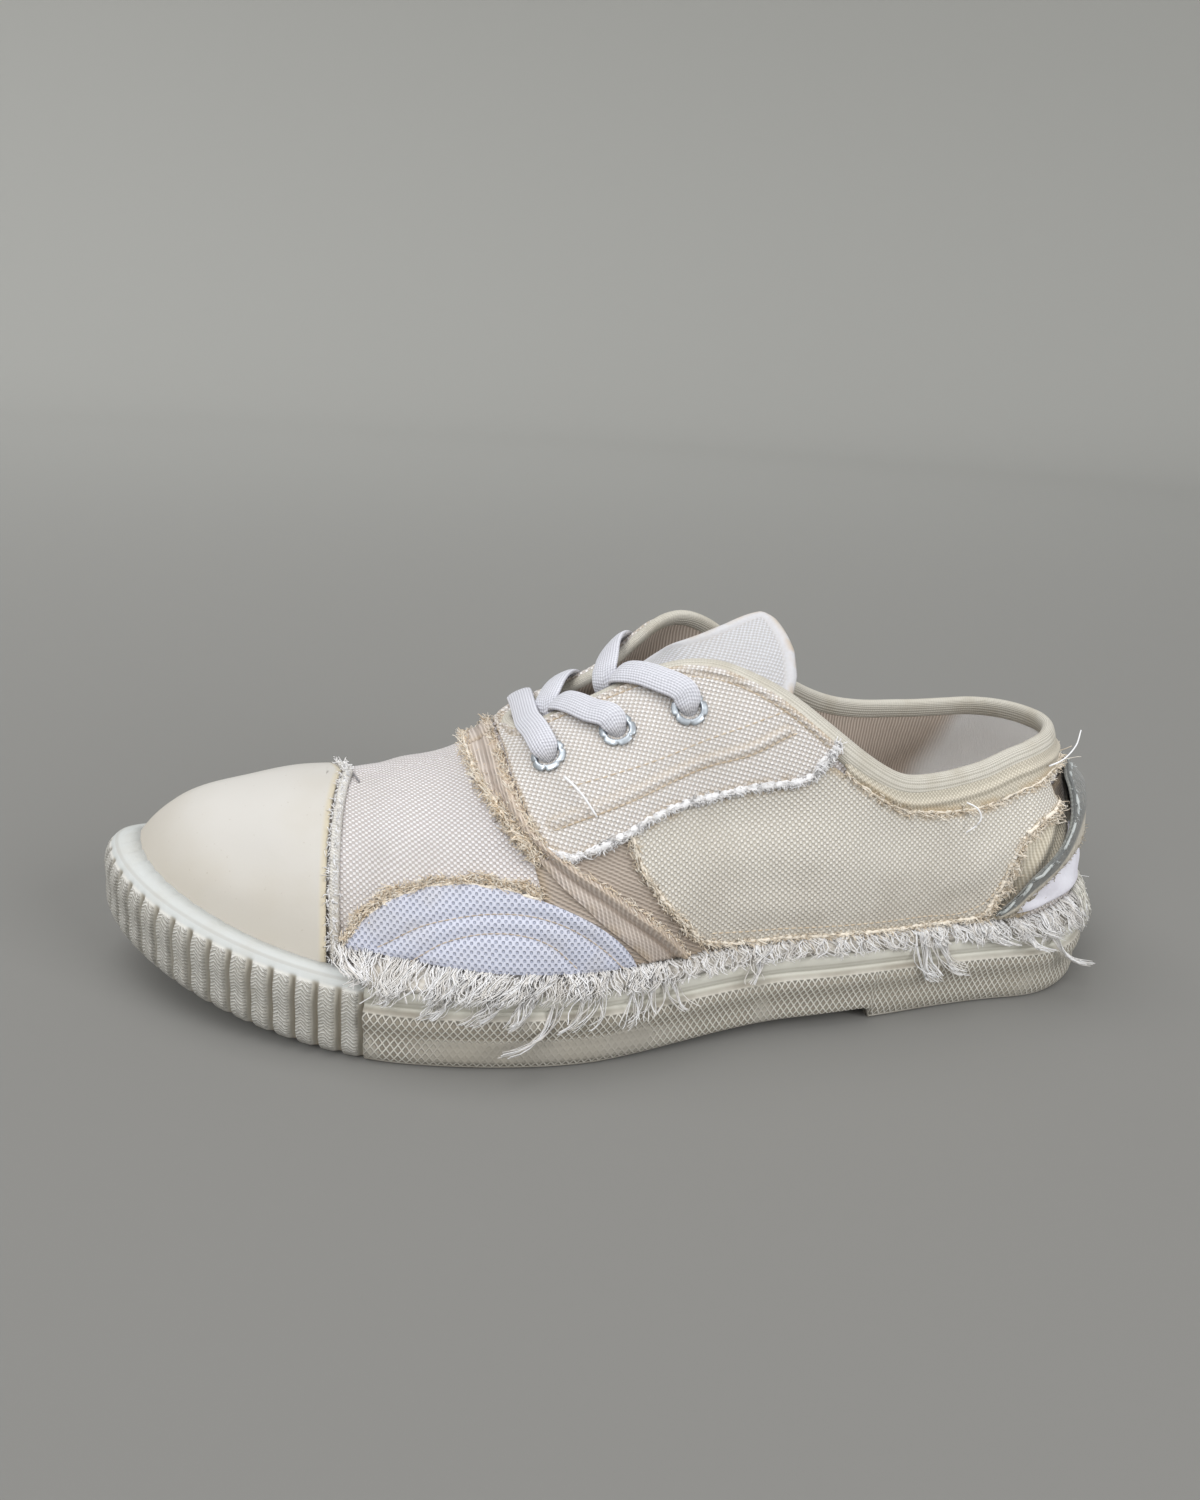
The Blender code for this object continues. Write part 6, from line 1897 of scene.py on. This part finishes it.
def locks(side, seed):
    """Long locks at their own places; the yarns of one lock stay close to its middle."""
    rng = np.random.RandomState(seed)
    rows = np.array(LOCKS[side], float)
    own = np.repeat(np.arange(len(rows)), rows[:, 4].astype(int))
    s, lean, drop, out, _ = rows[own].T
    tight = np.where(np.abs(lean) > 15, 0.45, 1.0)
    s = s + rng.normal(0, 1.3, len(own)) * tight
    near = 1 - 0.35 * rng.uniform(0, 1, len(own)) * tight
    root = FRINGE_ROOT + rng.uniform(0.4, 1.6, len(own)) + heel_rise(s)
    return yarns(side, seed, s, lean * near + rng.normal(0, 0.6, len(own)) * tight, drop * near, out, root,
                 0.24, 12, 0.9, 0.75)


def make_fringe(side, word):
    """Band, sheaves, matted yarn, locks, and round the heel a loose fuzz that reaches higher."""
    s = np.linspace(FRINGE_START - 2, LAST_STATION, 260)
    root, bend, tip = fringe_line(side, s, FRINGE_ROOT + 0.8 + heel_rise(s), -0.9, -0.6, 1.0)
    tip[:, 2] += 0.5 * np.sin(s * 1.9) * np.sin(s * 0.73 + side)
    grid = np.stack([tip, tip * 0.35 + bend * 0.65 + (0, 0, 0.1), bend * 0.5 + root * 0.5 + (0, 0, 0.35), root], 1)
    add_piece("fringe_band_" + word, grid.reshape(-1, 3), quads(len(s), 4, side == INNER), WHITE_CLOTH,
              ["fringe_" + word], grid_uv(s, np.array([0, 2, 4, 6.0])), wall=0.4)
    bunches = [sheaves(side, 5 + side, 3.3, 17), sheaves(side, 9 + side, 5.1, 8)]
    add_threads("fringe_sheaves_" + word, bunches, FRINGE_YARN)
    s = np.linspace(BUMPER_END - FRINGE_LEAD, LAST_STATION - 1, 400)
    height = bed(foot_line(side, s)[:, 0]) + FRINGE_ROOT + heel_rise(s, 2.5)
    mat = frames_on(side, s, angle_at_height(side, s, height), GAP + 0.8)
    matted = [fluff(41 + side, mat, 1300 if side == OUTER else 650, (-1.4, 1.2), -1, (0.8, 2.6), 0.19)]
    add_threads("fringe_fluff_" + word, matted, FRINGE_YARN)
    add_threads("fringe_locks_" + word, [locks(side, 21 + side)], FRINGE_YARN)
    rng = np.random.RandomState(31 + side)
    s = LAST_STATION - 30 * rng.uniform(0, 1, FUZZ_COUNT) ** 0.8
    lean, drop = rng.normal(0, 2.0, FUZZ_COUNT), rng.uniform(0.2, 4.0, FUZZ_COUNT)
    out, root = rng.uniform(0.4, 1.6, FUZZ_COUNT), rng.uniform(27, 33, FUZZ_COUNT)
    fuzz = [yarns(side, 33 + side, s, lean, drop, out, root, 0.22, 7, 0.9)]
    add_threads("heel_fuzz_" + word, fuzz, GREY_YARN)


FRINGE_YARN = thread_finish("fringe_yarn", (0.94, 0.94, 0.95), (0.76, 0.73, 0.69))
for side, word in SIDES:
    make_fringe(side, word)

# %% [markdown]
# Every raw edge takes its line from the panel that it belongs to. A soft cord lies along the cut,
# matted yarn covers a band beside it, and single ends stand off it.

# %% frayed edges
def along_line(side, line, lift):
    return frames_on(side, *on_side(side, line, 0.5).T, lift)


def along_pairs(side, pairs, lift):
    return frames_on(side, pairs[:, 0], pairs[:, 1], lift)


def make_edges(side, word):
    """White yarn on the eyestay, gold on the seam strip and the patch, tan on the quarter and the collar."""
    # k starts this side's seeds; share thins its threads, those of the inner side more
    k, share = (100, 0.54) if side == OUTER else (300, 0.26)

    def many(count):
        return int(count * share)
    top = GAP + EYESTAY_THICKNESS
    foot = EYESTAY_FOOT[:-1] + [(195.2, 76.5)]
    edge, rim = along_line(side, foot, top - 0.55), along_line(side, foot, top - 0.1)
    tuft = along_line(side, [(191.5, 74.2), (195.2, 77.5), (197.5, 80.5)], top)
    white = [cord(k, edge, 0.95, 0.4),
             fluff(k + 17, rim, many(1500), (-1.2, 1.2), -1, (0.7, 2.0), 0.2),
             fray(k + 1, rim, many(500), (0.8, 2.2), -1),
             fray(k + 2, edge, many(700), (0.7, 1.9), -1, 0.3, 0.2),
             fray(k + 3, rim, many(250), (0.6, 1.4), 1, 0.22, 0.3),
             cord(k + 12, tuft, 1.3, 0.4),
             fray(k + 3, tuft, many(260), (1.2, 3.0), 1, 0.28, 0.8, 0.1, 1.6),
             fray(k + 13, tuft, many(160), (0.8, 2.0), -1, 0.28, 0.8, 0.1)]
    add_threads("eyestay_fray_" + word, white, WHITE_YARN)
    _, arc = patch_arc(side, 160)
    lean = SEAM_THICKNESS + GAP
    front, rear = along_line(side, SEAM_FRONT[:4], lean - 0.2), along_line(side, SEAM_REAR, lean + 0.1)
    over = along_pairs(side, arc[3:100], GAP + 0.35)
    high = along_line(side, SEAM_REAR[:4], lean + 0.3)
    gold = [cord(k + 20, over, 0.4, 0.3),
            fluff(k + 4, over, many(2600), (0.0, 3.6), 1, (0.8, 2.2), 0.2),
            fluff(k + 5, front, many(1500), (-2.6, 2.0), -1, (0.8, 2.8), 0.2),
            fray(k + 14, front, many(500), (1.0, 3.4), -1, 0.24),
            cord(k + 21, front, 0.4),
            fluff(k + 6, rear, many(420), (-0.6, 0.8), -1),
            fray(k + 15, rear, many(160), (0.6, 1.6), 1, 0.2),
            fluff(k + 16, high, many(700), (0.0, 3.0), -1, (0.8, 2.4), 0.2)]
    add_threads("gold_fray_" + word, gold, GOLD_YARN)
    floor = [(158.0, 31.0), (165, 28.8), (185, 28.2), (205, 28.2), (225, 28.2), (244, 28.4), (249, 29.0)]
    s = np.concatenate([station(side, np.linspace(200.0, 262, 90)), np.linspace(263, LAST_STATION - 1, 50)])
    low = beside_opening(side, s, read(BAND_DROPS, 1, s))
    # line, radius of its cord, count of matted threads, band that they cover
    rows = [(along_line(side, QUARTER_FRONT, 1.0), 0.45, 700, (-0.8, 1.8)),
            (along_line(side, floor, 1.0), 0.45, 1700, (-1.2, 1.2)),
            (along_line(side, QUARTER_REAR, 1.0), 0.6, 1500, (-0.6, 3.4)),
            (along_pairs(side, low, GAP + BAND_THICKNESS - 0.3), 0.3, 1300, (-0.2, 1.5))]
    tan = [cord(k + 30 + n, path, radius) for n, (path, radius, _, _) in enumerate(rows)]
    tan += [fluff(k + 8 + n, path, many(count), band, -1, (0.7, 2.3), 0.22)
            for n, (path, _, count, band) in enumerate(rows)]
    add_threads("tan_fray_" + word, tan, TAN_YARN)


SINGLE_STEPS, SINGLE_SIDES = 16, 6
# single threads on the outer side: x, height, lift
SINGLES = [[(123.6, 69.8, 2.6), (125.4, 68.4, 4.2), (127.6, 66.4, 4.0), (130.4, 62.6, 2.9)],
           [(239.2, 62.6, 2.4), (241.2, 61.0, 4.4), (242.3, 58.4, 4.8), (241.2, 56.2, 3.8), (239.0, 54.6, 2.6)],
           [(270.0, 69.4, 2.2), (273.6, 70.2, 4.6), (277.0, 72.2, 7.0), (279.0, 75.0, 8.6)]]


def make_singles():
    """Loose threads that were left standing: each is a smooth line over the last."""
    lines = []
    for rows in SINGLES:
        s, a = spots(OUTER, [row[:2] for row in rows])
        at = skin(OUTER, s, a, [row[2] for row in rows])
        lines.append(follow(np.linspace(0, 1, SINGLE_STEPS), np.linspace(0, 1, len(rows)), at))
    radius = np.array([0.42, 0.26, 0.26])[:, None] * np.linspace(1, 0.7, SINGLE_STEPS)
    tint = np.zeros(len(lines) * SINGLE_STEPS * SINGLE_SIDES)
    add_threads("single_threads", [(tubes(np.array(lines), radius, SINGLE_SIDES), tint)], WHITE_YARN)
    slit = frames_on(OUTER, *on_side(OUTER, [(66.9, 57.0), (68.4, 57.6), (70.4, 57.2)], 0.3).T, GAP + 0.1)
    add_threads("vamp_slit", [cord(90, slit, 0.28, 0.05)], DARK_YARN)


make_singles()
for side, word in SIDES:
    make_edges(side, word)
print("raw edges ready")

# %% [markdown]
# A seam is a row of short beads that keeps its distance from the edge of a panel, as a sewing
# machine's foot does.

# %% seams
def make_seams(side, word):
    """Second row over the eyestay, welt, topline and quarter floor; then the arcs on the patch."""
    top = GAP + EYESTAY_THICKNESS
    second = [(123.9, 68.0), (137.0, 72.6), (153.2, 77.9), (169.9, 83.6), (184.2, 88.3)]
    edge = beside_opening(side, station(side, np.linspace(121, 196, 120)), 6.0)
    tan = [stitches(along_line(side, second, top), 1.6, 0.7, 0.2),
           stitches(along_line(side, [(x, z - 1.5) for x, z in WELT], top - 0.1), 1.5, 0.3, 0.24),
           stitches(along_pairs(side, edge, top - 0.1), 1.6, 0.4, 0.2)]
    floor = [(162.0, 32.0), (175, 31.2), (200, 31.0), (225, 31.0), (244, 31.2), (250, 34.0), (254, 40.0), (259, 50.0)]
    tan.append(stitches(along_line(side, floor, GAP + QUARTER_THICKNESS), 1.5, 0.5, 0.2))
    add_threads("seams_" + word, tan, STITCH_YARN)
    arcs = [stitches(along_line(side, arc, GAP + PATCH_THICKNESS - 0.2), 1.6, 0.15, 0.2) for arc in PATCH_ARCS]
    add_threads("patch_seams_" + word, arcs, PALE_STITCH)


for side, word in SIDES:
    make_seams(side, word)
print("seams ready")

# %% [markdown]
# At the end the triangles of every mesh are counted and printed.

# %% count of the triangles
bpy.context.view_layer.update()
sizes = {o.name: sum(len(f.vertices) - 2 for f in o.data.polygons) for o in bpy.data.objects if o.type == "MESH"}
print("triangles", sum(sizes.values()), "most", sorted(sizes.items(), key=lambda item: -item[1])[:6])
